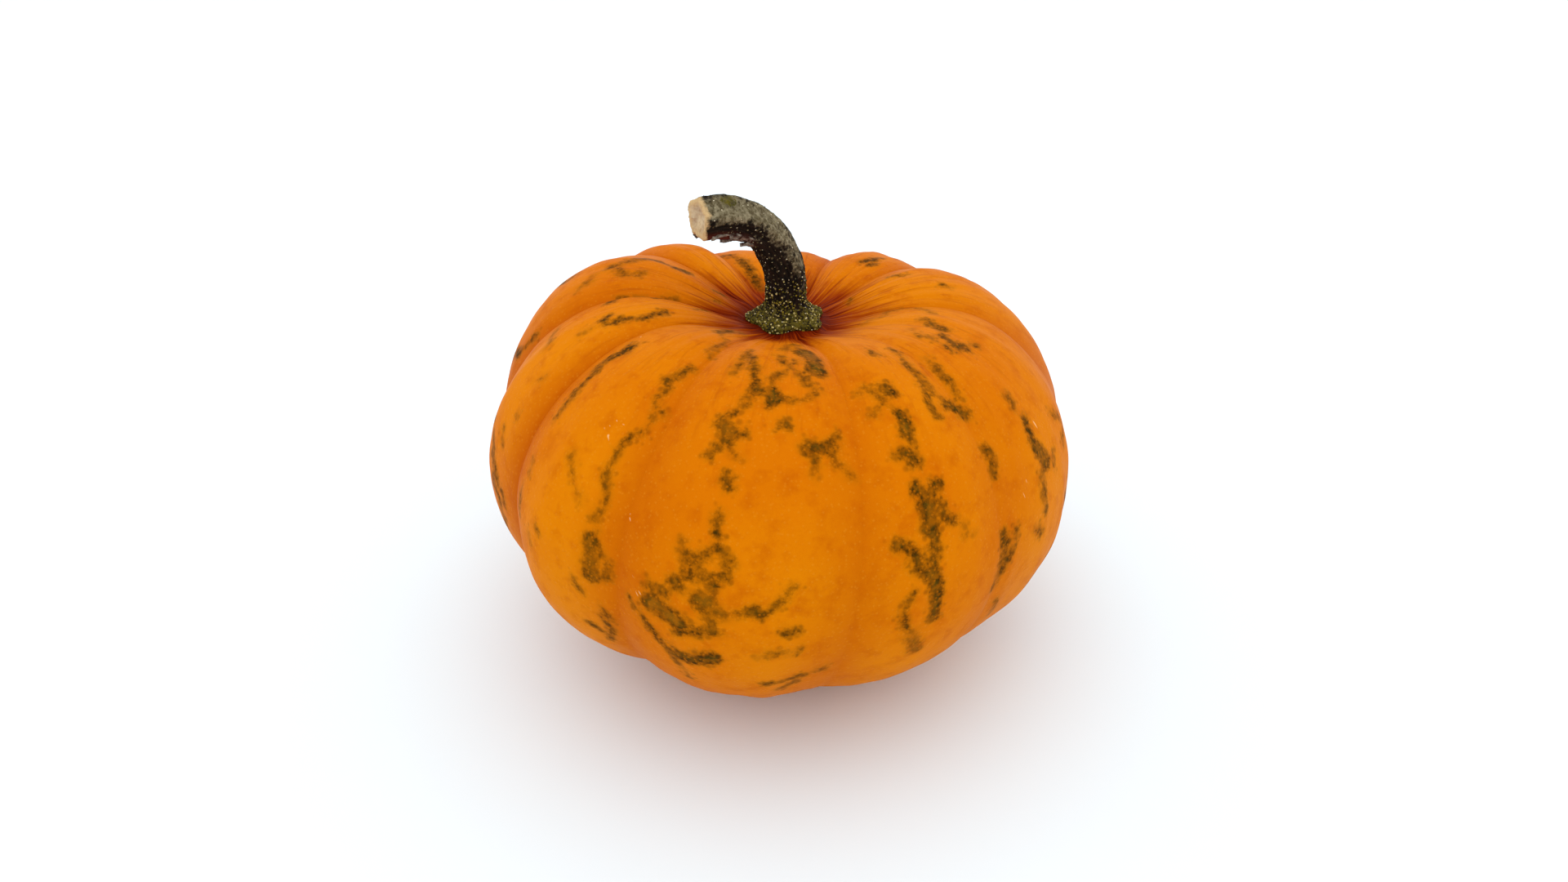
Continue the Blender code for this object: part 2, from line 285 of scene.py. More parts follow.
# Where each point ends up: out from the core line and up from the widest level, then leaned.
out_share = put(body, "ShaderNodeMath", (radius, size["Radius"]), operation="DIVIDE")
out = put(body, "ShaderNodeMath", (bulge, out_share, radius), operation="MULTIPLY_ADD")
inset = put(body, "ShaderNodeMath", (out_part, pressed), operation="MULTIPLY")
out = put(body, "ShaderNodeMath", (out, inset), operation="SUBTRACT")
sink = put(body, "ShaderNodeMath", (up_part, pressed), operation="MULTIPLY")
up = put(body, "ShaderNodeMath", (height, sink), operation="SUBTRACT")
rising = put(body, "ShaderNodeMapRange", {"Value": cosine, "From Min": -0.3, "From Max": 1.0},
             interpolation_type="SMOOTHSTEP")
lifted = put(body, "ShaderNodeMath", (rising, sine), operation="MULTIPLY")
up = put(body, "ShaderNodeMath", (lift, lifted, up), operation="MULTIPLY_ADD")
x = put(body, "ShaderNodeMath", (east, out), operation="MULTIPLY")
y = put(body, "ShaderNodeMath", (put(body, "ShaderNodeMath", (south, out), operation="MULTIPLY"),
                                 -1.0), operation="MULTIPLY")
upright = put(body, "ShaderNodeCombineXYZ", (x, y, up))
leaned = put(body, "ShaderNodeVectorRotate", {"Vector": upright, "Angle": size["Lean"]},
             rotation_type="Y_AXIS")

# What the skin's colours follow is kept with the points, before they leave the ball.
degrees_round = put(body, "ShaderNodeMath", (angle,), operation="DEGREES")
degrees_down = put(body, "ShaderNodeMath", (polar,), operation="DEGREES")
kept = ball.outputs["Mesh"]
for label, value, kind in (("around", degrees_round, "FLOAT"), ("down", degrees_down, "FLOAT"),
                           ("furrow", fold_depth_and_shade, "FLOAT"), ("from_core", radius, "FLOAT"),
                           ("lengthwise", lengthwise, "FLOAT_VECTOR")):
    kept = put(body, "GeometryNodeStoreNamedAttribute",
               {"Geometry": kept, "Name": label, "Value": value}, data_type=kind, domain="POINT")
shaped = put(body, "GeometryNodeSetPosition", {"Geometry": kept, "Position": leaned})

# It lies on the deepest part of its underside, which is pressed flat.
here = put(body, "ShaderNodeSeparateXYZ", (put(body, "GeometryNodeInputPosition"),)).outputs
lowest = put(body, "GeometryNodeAttributeStatistic", {"Geometry": shaped, "Attribute": here["Z"]})
rest = put(body, "ShaderNodeMath", (lowest.outputs["Min"], size["Flat depth"]), operation="ADD")
rested = put(body, "ShaderNodeMath", (here["Z"], rest, size["Flat rounding"]), operation="SMOOTH_MAX")
rested = put(body, "ShaderNodeMath", (rested, rest), operation="SUBTRACT")
resting = put(body, "ShaderNodeCombineXYZ", (here["X"], here["Y"], rested))
resting = put(body, "GeometryNodeSetPosition", {"Geometry": shaped, "Position": resting})

smooth = put(body, "GeometryNodeSetShadeSmooth", {"Geometry": resting})
plain = put(body, "GeometryNodeRealizeInstances", {"Geometry": smooth})
dressed = put(body, "GeometryNodeSetMaterial", {"Geometry": plain, "Material": rind})
put(body, "NodeGroupOutput", {"Geometry": dressed})
fruit = grown("pumpkin_fruit", row, body, FRUIT_SIZES)

# The grown mesh is set over the frame's fruit, middle on middle, and its crown is levelled to
# the height that the stem stands at.
fruit_low, fruit_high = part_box("fruit")
stem_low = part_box("stem")[0]
skin = np.empty(len(fruit.data.vertices) * 3, np.float32)
fruit.data.vertices.foreach_get("co", skin)
skin = skin.reshape(-1, 3)
seat_polar = math.asin((SEAT_RADIUS / FRUIT_RADIUS) ** (1.0 / FRUIT_SIZES["Shoulder fullness"]))
seat_height = SHOULDER_HEIGHT * math.cos(seat_polar) - FRUIT_SIZES["Crown hollow"] * math.exp(
    -(SEAT_RADIUS / FRUIT_SIZES["Crown hollow spread"]) ** 2)
middle_shift = [(fruit_low[axis] + fruit_high[axis] - skin[:, axis].min() - skin[:, axis].max()) / 2
                for axis in (0, 1)]
skin[:, 0] += middle_shift[0]
skin[:, 1] += middle_shift[1]
foot_x = seat_height * math.sin(FRUIT_LEAN) + middle_shift[0]
foot_y = middle_shift[1]
from_foot = np.hypot(skin[:, 0] - foot_x, skin[:, 1] - foot_y)
SEAT_MARGIN = 1.05            # the level patch ends this many seat radii out,
SEAT_FADE = 0.2               # and fades in over this many
levelling = np.clip((SEAT_RADIUS * SEAT_MARGIN - from_foot) / (SEAT_RADIUS * SEAT_FADE), 0.0, 1.0)
levelling *= skin[:, 2] > fruit_high[2] / 2
skin[:, 2] += (stem_low[2] - skin[:, 2]) * levelling ** 2 * (3 - 2 * levelling)
fruit.data.vertices.foreach_set("co", skin.ravel())
fruit.data.update()

# The blotches that the rind grew with: dark green-brown, thin, broken strokes with frayed
# edges that mostly run from stem to blossom. Each stroke is half its width in millimetres, its
# strength, and its points as angle round the fruit and angle down from the crown, in degrees.
BLOTCHES = (
    # the four ribs behind the stem
    (0.8, 0.75, (-144, 26), (-147, 23), (-153, 24)),
    (0.8, 1.0, (-156, 24), (-158, 19), (-158, 12), (-159, 9)),
    (0.8, 0.9, (-98, 32), (-101, 30), (-104, 27), (-108, 25)),
    (0.8, 0.8, (-96, 30), (-93, 27), (-93, 25), (-96, 23)),
    (0.9, 0.9, (-110, 25), (-111, 23), (-110, 19), (-113, 16)),
    (0.8, 1.0, (-108, 18), (-112, 15)),
    (0.5, 1.0, (-112, 10), (-117, 8)),
    (0.4, 0.8, (-98, 8), (-96, 9)),
    (0.7, 0.6, (-91, 39), (-92, 36), (-95, 35)),
    (0.8, 1.0, (145, 20), (143, 22), (141, 26)),
    (0.8, 1.0, (141, 20), (139, 22)),
    (0.5, 1.0, (119, 17), (117, 20)),
    (0.5, 0.9, (101, 26), (100, 27)),
    (0.5, 0.9, (113, 8), (115, 9)),
    # the two ribs on the left
    (0.6, 1.0, (-77, 30), (-81, 28), (-81, 24), (-80, 20), (-83, 16)),
    (0.6, 1.0, (-68, 30), (-67, 32), (-64, 32), (-63, 31)),
    (0.7, 1.0, (-63, 31), (-64, 28), (-62, 25), (-62, 22), (-64, 19)),
    (0.5, 0.7, (-66, 38), (-65, 36)),
    (0.5, 0.7, (-76, 44), (-74, 46), (-70, 47), (-70, 49)),
    (0.4, 1.0, (-71, 13), (-77, 10)),
    (1.1, 1.0, (-48, 30), (-47, 33), (-50, 36), (-50, 39)),
    (0.7, 0.85, (-49, 39), (-49, 43), (-49, 47), (-49, 52), (-49, 55)),
    (0.9, 0.3, (-63, 55), (-62, 51)),
    (0.5, 0.9, (-49, 69), (-48, 71)),
    (0.5, 1.0, (-50, 78), (-49, 82), (-49, 85)),
    (0.5, 0.8, (-62, 65), (-62, 66)),
    (0.4, 0.8, (-45, 88), (-44, 89)),
    (0.4, 0.8, (-42, 83), (-41, 84)),
    (0.4, 0.8, (-65, 72), (-64, 75)),
    (0.5, 0.9, (-66, 88), (-65, 92)),
    # the front left rib
    (0.8, 1.0, (-34, 15), (-43, 9), (-36, 9)),
    (0.5, 0.8, (-28, 16), (-26, 21), (-25, 24)),
    (0.8, 0.95, (-27, 31), (-29, 33), (-30, 35)),
    (0.5, 0.9, (-29, 37), (-28, 41), (-28, 46), (-28, 49), (-31, 54)),
    (0.6, 0.8, (-31, 55), (-31, 59), (-30, 62), (-30, 67), (-31, 73)),
    (0.5, 0.7, (-27, 42), (-26, 43)),
    (0.8, 0.45, (-39, 60), (-36, 66), (-34, 70)),
    (1.5, 0.85, (-31, 79), (-31, 85), (-30, 90)),
    (1.0, 0.7, (-29, 80), (-28, 84), (-28, 89)),
    (0.5, 0.9, (-34, 93), (-33, 95)),
    (0.9, 0.7, (-29, 100), (-28, 102)),
    (0.6, 0.9, (-33, 107), (-31, 110), (-30, 111)),
    (0.7, 0.9, (-30, 103), (-29, 107), (-30, 113)),
    # the broad front rib, near the crown
    (0.8, 0.7, (-2, 19), (3, 13), (5, 18)),
    (0.6, 0.8, (-3, 22), (-1, 25), (4, 29)),
    (1.7, 1.0, (5, 19), (8, 23), (8, 27)),
    (0.7, 0.9, (4, 28), (6, 32), (6, 34)),
    (0.6, 0.9, (-3, 35), (1, 35), (4, 35), (7, 34)),
    (1.1, 1.0, (-3, 35), (-4, 37), (-3, 34)),
    (0.5, 0.9, (2, 23), (0, 27), (-3, 31), (-4, 35)),
    (0.6, 0.8, (-14, 29), (-14, 24), (-13, 20)),
    (0.9, 0.95, (-13, 21), (-10, 26), (-8, 31), (-7, 35)),
    (0.6, 0.8, (-8, 35), (-10, 39), (-12, 43)),
    (1.1, 0.9, (-13, 43), (-11, 44), (-8, 44)),
    (0.7, 0.6, (-11, 45), (-9, 47), (-9, 50)),
    (1.0, 0.9, (-13, 50), (-12, 49)),
    (0.8, 0.9, (-10, 55), (-9, 57)),
    (0.8, 1.0, (-10, 64), (-10, 67)),
    (0.9, 1.0, (-2, 42), (0, 42)),
    (1.0, 0.85, (4, 47), (5, 46), (7, 47), (10, 45)),
    (1.0, 0.6, (5, 48), (5, 52)),
    (0.9, 0.5, (9, 47), (9, 52), (11, 55)),
    # the broad front rib, low down
    (0.6, 1.0, (-23, 92), (-21, 95), (-19, 100), (-16, 106), (-14, 114)),
    (1.7, 0.9, (-19, 91), (-17, 92), (-14, 94)),
    (1.3, 0.95, (-15, 97), (-12, 95), (-10, 94)),
    (1.5, 1.0, (-16, 104), (-13, 104), (-9, 103)),
    (1.0, 0.9, (-12, 88), (-10, 91), (-9, 94)),
    (1.6, 0.35, (-12, 86), (-9, 87), (-7, 89)),
    (0.8, 0.9, (-10, 71), (-12, 74), (-11, 79), (-10, 79), (-8, 78), (-7, 75), (-8, 72), (-10, 71)),
    (1.2, 0.55, (-15, 72), (-14, 76), (-13, 80)),
    (1.3, 0.8, (-19, 86), (-17, 86)),
    (1.2, 0.8, (-15, 82), (-14, 83)),
    (0.9, 0.45, (-10, 81), (-10, 85)),
    (1.0, 1.0, (-4, 87), (-2, 87)),
    (0.6, 1.0, (-2, 87), (0, 85), (1, 83), (2, 80)),
    (0.9, 1.0, (1, 93), (2, 92)),
    (0.4, 0.9, (3, 98), (3, 100)),
    (0.9, 0.6, (-2, 100), (0, 99)),
    (0.8, 1.0, (-1, 112), (2, 111), (5, 110)),
    (0.8, 0.9, (2, 116), (4, 114)),
    (1.0, 0.6, (8, 109), (9, 108)),
    # the front right rib
    (0.7, 0.65, (17, 35), (19, 34), (20, 36), (21, 39), (18, 41)),
    (1.0, 1.0, (23, 35), (23, 37)),
    (0.5, 0.9, (27, 23), (27, 25)),
    (1.1, 1.0, (24, 43), (24, 44), (24, 47), (24, 50)),
    (1.4, 1.0, (22, 52), (23, 54)),
    (1.0, 1.0, (23, 59), (23, 61), (24, 64)),
    (0.9, 1.0, (26, 61), (25, 63), (24, 64)),
    (1.7, 1.0, (24, 65), (24, 66), (24, 70)),
    (0.9, 0.9, (26, 65), (27, 68), (28, 70)),
    (1.3, 1.0, (19, 73), (21, 76), (22, 79), (24, 82)),
    (0.9, 1.0, (24, 71), (24, 75), (24, 79)),
    (1.1, 1.0, (25, 83), (25, 87), (25, 91), (25, 95)),
    (0.8, 0.9, (21, 86), (20, 91), (20, 97)),
    (1.8, 0.4, (22, 100), (24, 105)),
    (0.6, 0.9, (36, 25), (35, 30), (34, 34)),
    (0.8, 0.9, (35, 33), (33, 38), (32, 42), (32, 45)),
    (0.6, 0.8, (35, 35), (35, 40), (37, 43)),
    (1.1, 1.0, (37, 43), (38, 44), (40, 47)),
    (0.4, 0.7, (30, 72), (31, 75), (33, 75)),
    # the two ribs on the right
    (0.8, 0.9, (43, 31), (42, 35), (42, 40), (42, 42)),
    (0.7, 0.85, (41, 56), (41, 59), (41, 64)),
    (0.5, 0.8, (42, 56), (42, 61)),
    (1.1, 1.0, (41, 79), (41, 85), (41, 91), (40, 95)),
    (0.8, 0.9, (44, 80), (43, 86), (42, 89)),
    (0.6, 0.9, (43, 103), (45, 109)),
    (0.5, 0.9, (50, 84), (52, 88)),
    (0.8, 0.7, (54, 49), (54, 52)),
    (1.2, 1.0, (55, 56), (54, 60), (55, 64), (56, 69)),
    (0.8, 0.95, (54, 70), (54, 74), (53, 81)),
    (0.6, 0.8, (60, 68), (59, 72)),
    (0.5, 0.6, (74, 13), (87, 13), (86, 16), (83, 19), (75, 22)),
    (0.8, 1.0, (67, 21), (63, 24), (63, 26)),
    (0.6, 0.9, (52, 25), (52, 27)),
    (0.5, 0.5, (55, 20), (51, 24)),
    (1.2, 1.0, (57, 28), (57, 33)),
    (0.7, 1.0, (52, 30), (52, 32)),
    (0.7, 0.9, (62, 33), (62, 34)),
    (0.4, 0.7, (57, 34), (57, 35)),
    (0.4, 0.7, (68, 10), (72, 11)),
)

# The far sides carry blotches of the same kind: short chains of strokes that wander down the
# ribs, with a fixed seed.
FAR_CHAINS = 46
FAR_SIDES = (66.0, 295.0)     # angles round the fruit between which the chains start
FAR_DOWN = (34.0, 158.0)
FAR_SEED = 11
FAR_HALF_WIDTHS = (0.45, 1.0)
FAR_STRENGTHS = (0.6, 1.0)
MOST_STROKES = 4              # in a chain
MOST_STEPS = 4                # in a stroke
STEP_ROUND = 2.0              # degrees from point to point: a spread round, a range down
STEP_DOWN = (1.5, 4.5)
GAP_ROUND = 2.5               # the same from stroke to stroke
GAP_DOWN = (1.0, 4.0)
strokes = [(half_width, strength, points) for half_width, strength, *points in BLOTCHES]
dice = random.Random(FAR_SEED)
for chain in range(FAR_CHAINS):
    around, down = dice.uniform(*FAR_SIDES), dice.uniform(*FAR_DOWN)
    for part in range(dice.randint(1, MOST_STROKES)):
        points = [(around, down)]
        for step in range(dice.randint(1, MOST_STEPS)):
            around += dice.gauss(0.0, STEP_ROUND)
            down += dice.uniform(*STEP_DOWN)
            points.append((around, down))
        strokes.append((dice.uniform(*FAR_HALF_WIDTHS), dice.uniform(*FAR_STRENGTHS), points))
        around += dice.gauss(0.0, GAP_ROUND)
        down += dice.uniform(*GAP_DOWN)

around = np.empty(len(skin), np.float32)
down = np.empty(len(skin), np.float32)
fruit.data.attributes["around"].data.foreach_get("value", around)
fruit.data.attributes["down"].data.foreach_get("value", down)


def skin_place(angle_round, angle_down):
    """The point of the skin nearest to these two angles."""
    turn = (around - angle_round + 180.0) % 360.0 - 180.0
    return skin[np.argmin((turn * np.sin(np.radians(down))) ** 2 + (down - angle_down) ** 2)]


# How far each point of the skin lies inside the nearest stroke, in millimetres. The strokes
# wander and swell as growth does, because each point looks for them from a slightly moved place.
CLEAR = -3.0                  # the value far outside every stroke
WANDER = ((0.0055, 0.0009), (0.0021, 0.0005))     # size of a wave and how far it moves a point
SWELL_SIZE = 0.0035
WANDER_SEED = 2               # the waves are the same each time the script runs
SWELL = 0.55                  # how much of its width a stroke gains or loses
LOOK_PAST = 0.006             # how far past a stroke's ends and sides points are measured
STRENGTH_REACH = 3.8          # millimetres from a stroke's middle at which its strength is gone
SCAR_EDGE = 172.0             # no stroke runs further down than this many degrees
noise.seed_set(WANDER_SEED)
moved = np.array([Vector(co) + sum((noise.noise_vector(Vector(co) / wave) * shift
                                    for wave, shift in WANDER), Vector()) for co in skin])
swell = np.array([noise.noise(Vector(co) / SWELL_SIZE) for co in skin])
inside = np.full(len(skin), CLEAR, np.float32)
strength_here = np.zeros(len(skin), np.float32)
for half_width, strength, points in strokes:
    line = [skin_place(*point) for point in points if point[1] < SCAR_EDGE]
    for start, end in zip(line, line[1:]):
        way = end - start
        near = np.abs(moved - (start + end) / 2).max(axis=1) < np.abs(way).max() / 2 + LOOK_PAST
        offset = moved[near] - start
        share = np.clip(offset @ way / max(float(way @ way), 1e-12), 0.0, 1.0)
        gap = np.linalg.norm(offset - share[:, None] * way, axis=1) * 1000
        deep = half_width * (1.0 + SWELL * swell[near]) - gap
        inside[near] = np.maximum(inside[near], deep)
        fading = np.clip((STRENGTH_REACH - gap) / 2, 0.0, 1.0)
        strength_here[near] = np.maximum(strength_here[near], strength * fading)

# Places where the wax was scraped, as angles round and down, each a few millimetres wide.
SCRAPED = ((-24, 69), (-50, 28), (-34, 52), (-21, 87), (48, 71), (58, 59), (125, 74), (205, 96),
           (262, 60))
SCRAPE_REACH = 0.0032
SCRAPE_FULL = 1.3             # over 1, so that the middle of each place is scraped evenly
scraped_here = np.zeros(len(skin), np.float32)
for angles in SCRAPED:
    gap = np.linalg.norm(skin - skin_place(*angles), axis=1)
    scraped_here = np.maximum(scraped_here, np.clip(SCRAPE_FULL - gap / SCRAPE_REACH, 0.0, 1.0))
for label, values in (("blotch", inside), ("blotch_strength", strength_here),
                      ("scraped", scraped_here)):
    fruit.data.attributes.new(label, "FLOAT", "POINT").data.foreach_set("value", values)

# Ripe pumpkin rind: a hard skin with a thin natural wax on it. The wax is nearly matt, with a
# faint, broad gloss. The skin shows breathing pores and a red-brown crown; the deeper orange of
# the furrows, which leaves the crests paler, is painted shade, as is part of the crown's dark.
ORANGE = linear("#CC6C00")
ORANGE_PALE = linear("#D47901")
# The deeper orange is the rind's own in its mottles and painted shade in its furrows.
DEEP_ORANGE_AND_FOLD_SHADE = linear("#AE4A00")
# The crown's red-brown and its near-black round the stem's foot are partly painted shade of the hollow.
CROWN_RED = linear("#8A2A02")
CROWN_DARK_AND_SHADE = linear("#520F02")
PORE_PALE = linear("#DE8C20")
BLOTCH_EDGE = linear("#3A2303")
BLOTCH_OLIVE = linear("#54400A")
CORK_BROWN = linear("#7A5430")
BLOTCH_HALO = linear("#A05E02")
SCUFF_PALE = linear("#F2C890")
PORE_SPACING = 0.0009         # real pores are 0.5 mm apart or less; drawn coarser to be seen
BROAD_SIZE = 0.028            # the drift from a paler orange to a deeper one, over a whole rib
MOTTLE_SIZE = 0.004
FRAY_SIZE = 0.0021            # the fraying of a blotch's edge, and the dots round it
FINE_SIZE = 0.0009
SCRATCH_WIDTH = 0.0006        # real scratches are 0.1 mm wide; drawn coarser to be seen
STREAK_RATE = 34.0            # growth lines in one radian round the fruit
STREAK_STRETCH = (1.0, 1.0, 0.16)
STREAKS_GONE = 58.0           # degrees down from the crown
STREAKS_FULL = 12.0
CROWN_RED_GONE = 0.0215       # distances from the core line, for the crown and for the scar
CROWN_RED_FULL = 0.0095
CROWN_DARK_GONE = 0.0125
CROWN_DARK_FULL = 0.0065
SCAR_GONE = 0.0075
SCAR_FULL = 0.0055
WIDEST_LEVEL = 90.0           # degrees down from the crown

rind.use_nodes = True
look = rind.node_tree
finish = look.nodes["Principled BSDF"]
place = put(look, "ShaderNodeTexCoord").outputs["Object"]
furrow_here = put(look, "ShaderNodeAttribute", attribute_name="furrow").outputs["Fac"]
from_core = put(look, "ShaderNodeAttribute", attribute_name="from_core").outputs["Fac"]
down_here = put(look, "ShaderNodeAttribute", attribute_name="down").outputs["Fac"]
blotch = put(look, "ShaderNodeAttribute", attribute_name="blotch").outputs["Fac"]
strong = put(look, "ShaderNodeAttribute", attribute_name="blotch_strength").outputs["Fac"]
grain = put(look, "ShaderNodeAttribute", attribute_name="lengthwise").outputs["Vector"]

broad = put(look, "ShaderNodeTexNoise", {"Vector": place, "Scale": 1 / BROAD_SIZE,
                                         "Detail": 2.0})
mottle = put(look, "ShaderNodeTexNoise", {"Vector": place, "Scale": 1 / MOTTLE_SIZE,
                                          "Detail": 4.0, "Roughness": 0.6})
fine = put(look, "ShaderNodeTexNoise", {"Vector": place, "Scale": 1 / FINE_SIZE, "Detail": 2.0})
fray = put(look, "ShaderNodeTexNoise", {"Vector": place, "Scale": 1 / FRAY_SIZE, "Detail": 3.0,
                                        "Roughness": 0.7})
pores = put(look, "ShaderNodeTexVoronoi", {"Vector": place, "Scale": 1 / PORE_SPACING})
streak_place = put(look, "ShaderNodeVectorMath", (grain, STREAK_STRETCH), operation="MULTIPLY")
streaks = put(look, "ShaderNodeTexNoise", {"Vector": streak_place, "Scale": STREAK_RATE,
                                           "Detail": 3.0, "Roughness": 0.65})

# Orange that wanders between a paler and a deeper one. The deeper orange where the skin folds in is
# painted shade, stronger the deeper the furrow.
wander = put(look, "ShaderNodeMath", (fine, 0.22, broad), operation="MULTIPLY_ADD")
wander = put(look, "ShaderNodeMapRange", {"Value": wander, "From Min": 0.46, "From Max": 0.79})
colour = put(look, "ShaderNodeMix", (wander, ORANGE, ORANGE_PALE), data_type="RGBA")
mottled = put(look, "ShaderNodeMapRange", {"Value": mottle, "From Min": 0.5, "From Max": 0.78,
                                           "To Max": 0.55})
colour = put(look, "ShaderNodeMix", (mottled, colour, DEEP_ORANGE_AND_FOLD_SHADE), data_type="RGBA")
# Painted shade: the furrows get a deeper orange as they deepen.
fold_depth_and_shade = put(look, "ShaderNodeMapRange", {"Value": furrow_here, "From Min": 0.1, "From Max": 0.9,
                                          "To Max": 0.85})
colour = put(look, "ShaderNodeMix", (fold_depth_and_shade, colour, DEEP_ORANGE_AND_FOLD_SHADE), data_type="RGBA")

# Breathing pores, pale and a little raised.
pore = put(look, "ShaderNodeMapRange", {"Value": pores.outputs["Distance"], "From Min": 0.34,
                                        "From Max": 0.12})
pore_shown = put(look, "ShaderNodeMath", (pore, 0.2), operation="MULTIPLY")
colour = put(look, "ShaderNodeMix", (pore_shown, colour, PORE_PALE), data_type="RGBA")

# Reddish growth lines from the crown down the shoulders.
near_stem = put(look, "ShaderNodeMapRange", {"Value": down_here, "From Min": STREAKS_GONE,
                                             "From Max": STREAKS_FULL})
streak = put(look, "ShaderNodeMapRange", {"Value": streaks, "From Min": 0.53, "From Max": 0.72})
streak = put(look, "ShaderNodeMath", (streak, near_stem), operation="MULTIPLY")
colour = put(look, "ShaderNodeMix", (put(look, "ShaderNodeMath", (streak, 0.45),
             operation="MULTIPLY"), colour, CROWN_RED), data_type="RGBA")

# The red-brown of the crown hollow, in fans along the furrows, darkening to near black round the stem's
# foot: partly the rind's own colour, partly painted shade of the hollow.
reach = put(look, "ShaderNodeMath", (put(look, "ShaderNodeMath", (streaks, 0.5),
            operation="SUBTRACT"), -0.02, from_core), operation="MULTIPLY_ADD")
reach = put(look, "ShaderNodeMath", (furrow_here, -0.012, reach), operation="MULTIPLY_ADD")
blossom_side = put(look, "ShaderNodeMath", (down_here, WIDEST_LEVEL), operation="GREATER_THAN")
reach = put(look, "ShaderNodeMath", (blossom_side, 1.0, reach), operation="MULTIPLY_ADD")
crown_red_and_shade = put(look, "ShaderNodeMapRange", {"Value": reach, "From Min": CROWN_RED_GONE,
               "From Max": CROWN_RED_FULL}, interpolation_type="SMOOTHSTEP")
colour = put(look, "ShaderNodeMix", (crown_red_and_shade, colour, CROWN_RED), data_type="RGBA")
# Near black round the stem's foot: partly the rind's own dark, partly painted shade of the hollow.
crown_dark_and_shade = put(look, "ShaderNodeMapRange", {"Value": reach, "From Min": CROWN_DARK_GONE,
               "From Max": CROWN_DARK_FULL}, interpolation_type="SMOOTHSTEP")
colour = put(look, "ShaderNodeMix", (crown_dark_and_shade, colour, CROWN_DARK_AND_SHADE), data_type="RGBA")

# The blossom's scar under the fruit, a small corky spot.
scarred = put(look, "ShaderNodeMath", (blossom_side, -1.0, from_core), operation="MULTIPLY_ADD")
scarred = put(look, "ShaderNodeMath", (fray, 0.004, scarred), operation="MULTIPLY_ADD")
scarred = put(look, "ShaderNodeMapRange", {"Value": scarred, "From Min": SCAR_GONE - 1.0,
              "From Max": SCAR_FULL - 1.0}, interpolation_type="SMOOTHSTEP")
colour = put(look, "ShaderNodeMix", (scarred, colour, CORK_BROWN), data_type="RGBA")

# Blotches: the stroke's depth plus two noises frays its edge; the edge is the darkest part and
# the inside is olive, broken by pale pores.
frayed = put(look, "ShaderNodeMath", (put(look, "ShaderNodeMath", (fray, 0.5),
             operation="SUBTRACT"), 2.8, blotch), operation="MULTIPLY_ADD")
frayed = put(look, "ShaderNodeMath", (put(look, "ShaderNodeMath", (fine, 0.5),
             operation="SUBTRACT"), 0.9, frayed), operation="MULTIPLY_ADD")
halo = put(look, "ShaderNodeMapRange", {"Value": frayed, "From Min": -1.5, "From Max": 0.3,
                                        "To Max": 0.5}, interpolation_type="SMOOTHSTEP")
halo = put(look, "ShaderNodeMath", (halo, strong), operation="MULTIPLY")
weak = put(look, "ShaderNodeMath", (1.0, strong), operation="SUBTRACT")
frayed = put(look, "ShaderNodeMath", (weak, -0.9, frayed), operation="MULTIPLY_ADD")
shown = put(look, "ShaderNodeMath", (strong, 0.6, 0.4), operation="MULTIPLY_ADD")
colour = put(look, "ShaderNodeMix", (halo, colour, BLOTCH_HALO), data_type="RGBA")
covered = put(look, "ShaderNodeMapRange", {"Value": frayed, "From Min": -0.8, "From Max": 0.7},
              interpolation_type="SMOOTHSTEP")
thick = put(look, "ShaderNodeMapRange", {"Value": mottle, "From Min": 0.42, "From Max": 0.58,
                                         "To Min": 0.72, "To Max": 1.0})
netted = put(look, "ShaderNodeMapRange", {"Value": fine, "From Min": 0.38, "From Max": 0.6,
                                          "To Min": 0.66, "To Max": 1.0})
for cover in (shown, thick, netted):
    covered = put(look, "ShaderNodeMath", (covered, cover), operation="MULTIPLY")
near_blotch = put(look, "ShaderNodeMapRange", {"Value": blotch, "From Min": -2.4,
                  "From Max": -0.3, "To Max": 0.3})
dots = put(look, "ShaderNodeTexVoronoi", {"Vector": place, "Scale": 1 / FRAY_SIZE})
dots = put(look, "ShaderNodeMath", (near_blotch, dots.outputs["Distance"]), operation="SUBTRACT")
dots = put(look, "ShaderNodeMapRange", {"Value": dots, "From Min": -0.16, "From Max": 0.16,
                                        "To Max": 0.4}, interpolation_type="SMOOTHSTEP")
dots = put(look, "ShaderNodeMath", (dots, strong), operation="MULTIPLY")
covered = put(look, "ShaderNodeMath", (covered, dots), operation="MAXIMUM")
deep_inside = put(look, "ShaderNodeMapRange", {"Value": frayed, "From Min": 0.4, "From Max": 1.8})
blotch_colour = put(look, "ShaderNodeMix", (deep_inside, BLOTCH_EDGE, BLOTCH_OLIVE),
                    data_type="RGBA")
pale_pore = put(look, "ShaderNodeMath", (pore, 0.42), operation="MULTIPLY")
blotch_colour = put(look, "ShaderNodeMix", (pale_pore, blotch_colour, ORANGE), data_type="RGBA")
colour = put(look, "ShaderNodeMix", (covered, colour, blotch_colour), data_type="RGBA")

# Scuffs: a few short, pale scratches through the wax.
scuff_place = put(look, "ShaderNodeVectorRotate", {"Vector": place, "Axis": (0.3, 1.0, 0.2),
                                                   "Angle": math.radians(35.0)})
scuff_place = put(look, "ShaderNodeVectorMath", (scuff_place, (1.0, 1.0, 0.2)),
                  operation="MULTIPLY")
scuff = put(look, "ShaderNodeTexNoise", {"Vector": scuff_place, "Scale": 1 / SCRATCH_WIDTH,
                                         "Detail": 0.0})
scraped = put(look, "ShaderNodeAttribute", attribute_name="scraped").outputs["Fac"]
scuff = put(look, "ShaderNodeMath", (scraped, 0.22, scuff), operation="MULTIPLY_ADD")
scuff = put(look, "ShaderNodeMapRange", {"Value": scuff, "From Min": 0.93, "From Max": 1.0,
                                         "To Max": 0.5})
colour = put(look, "ShaderNodeMix", (scuff, colour, SCUFF_PALE), data_type="RGBA")

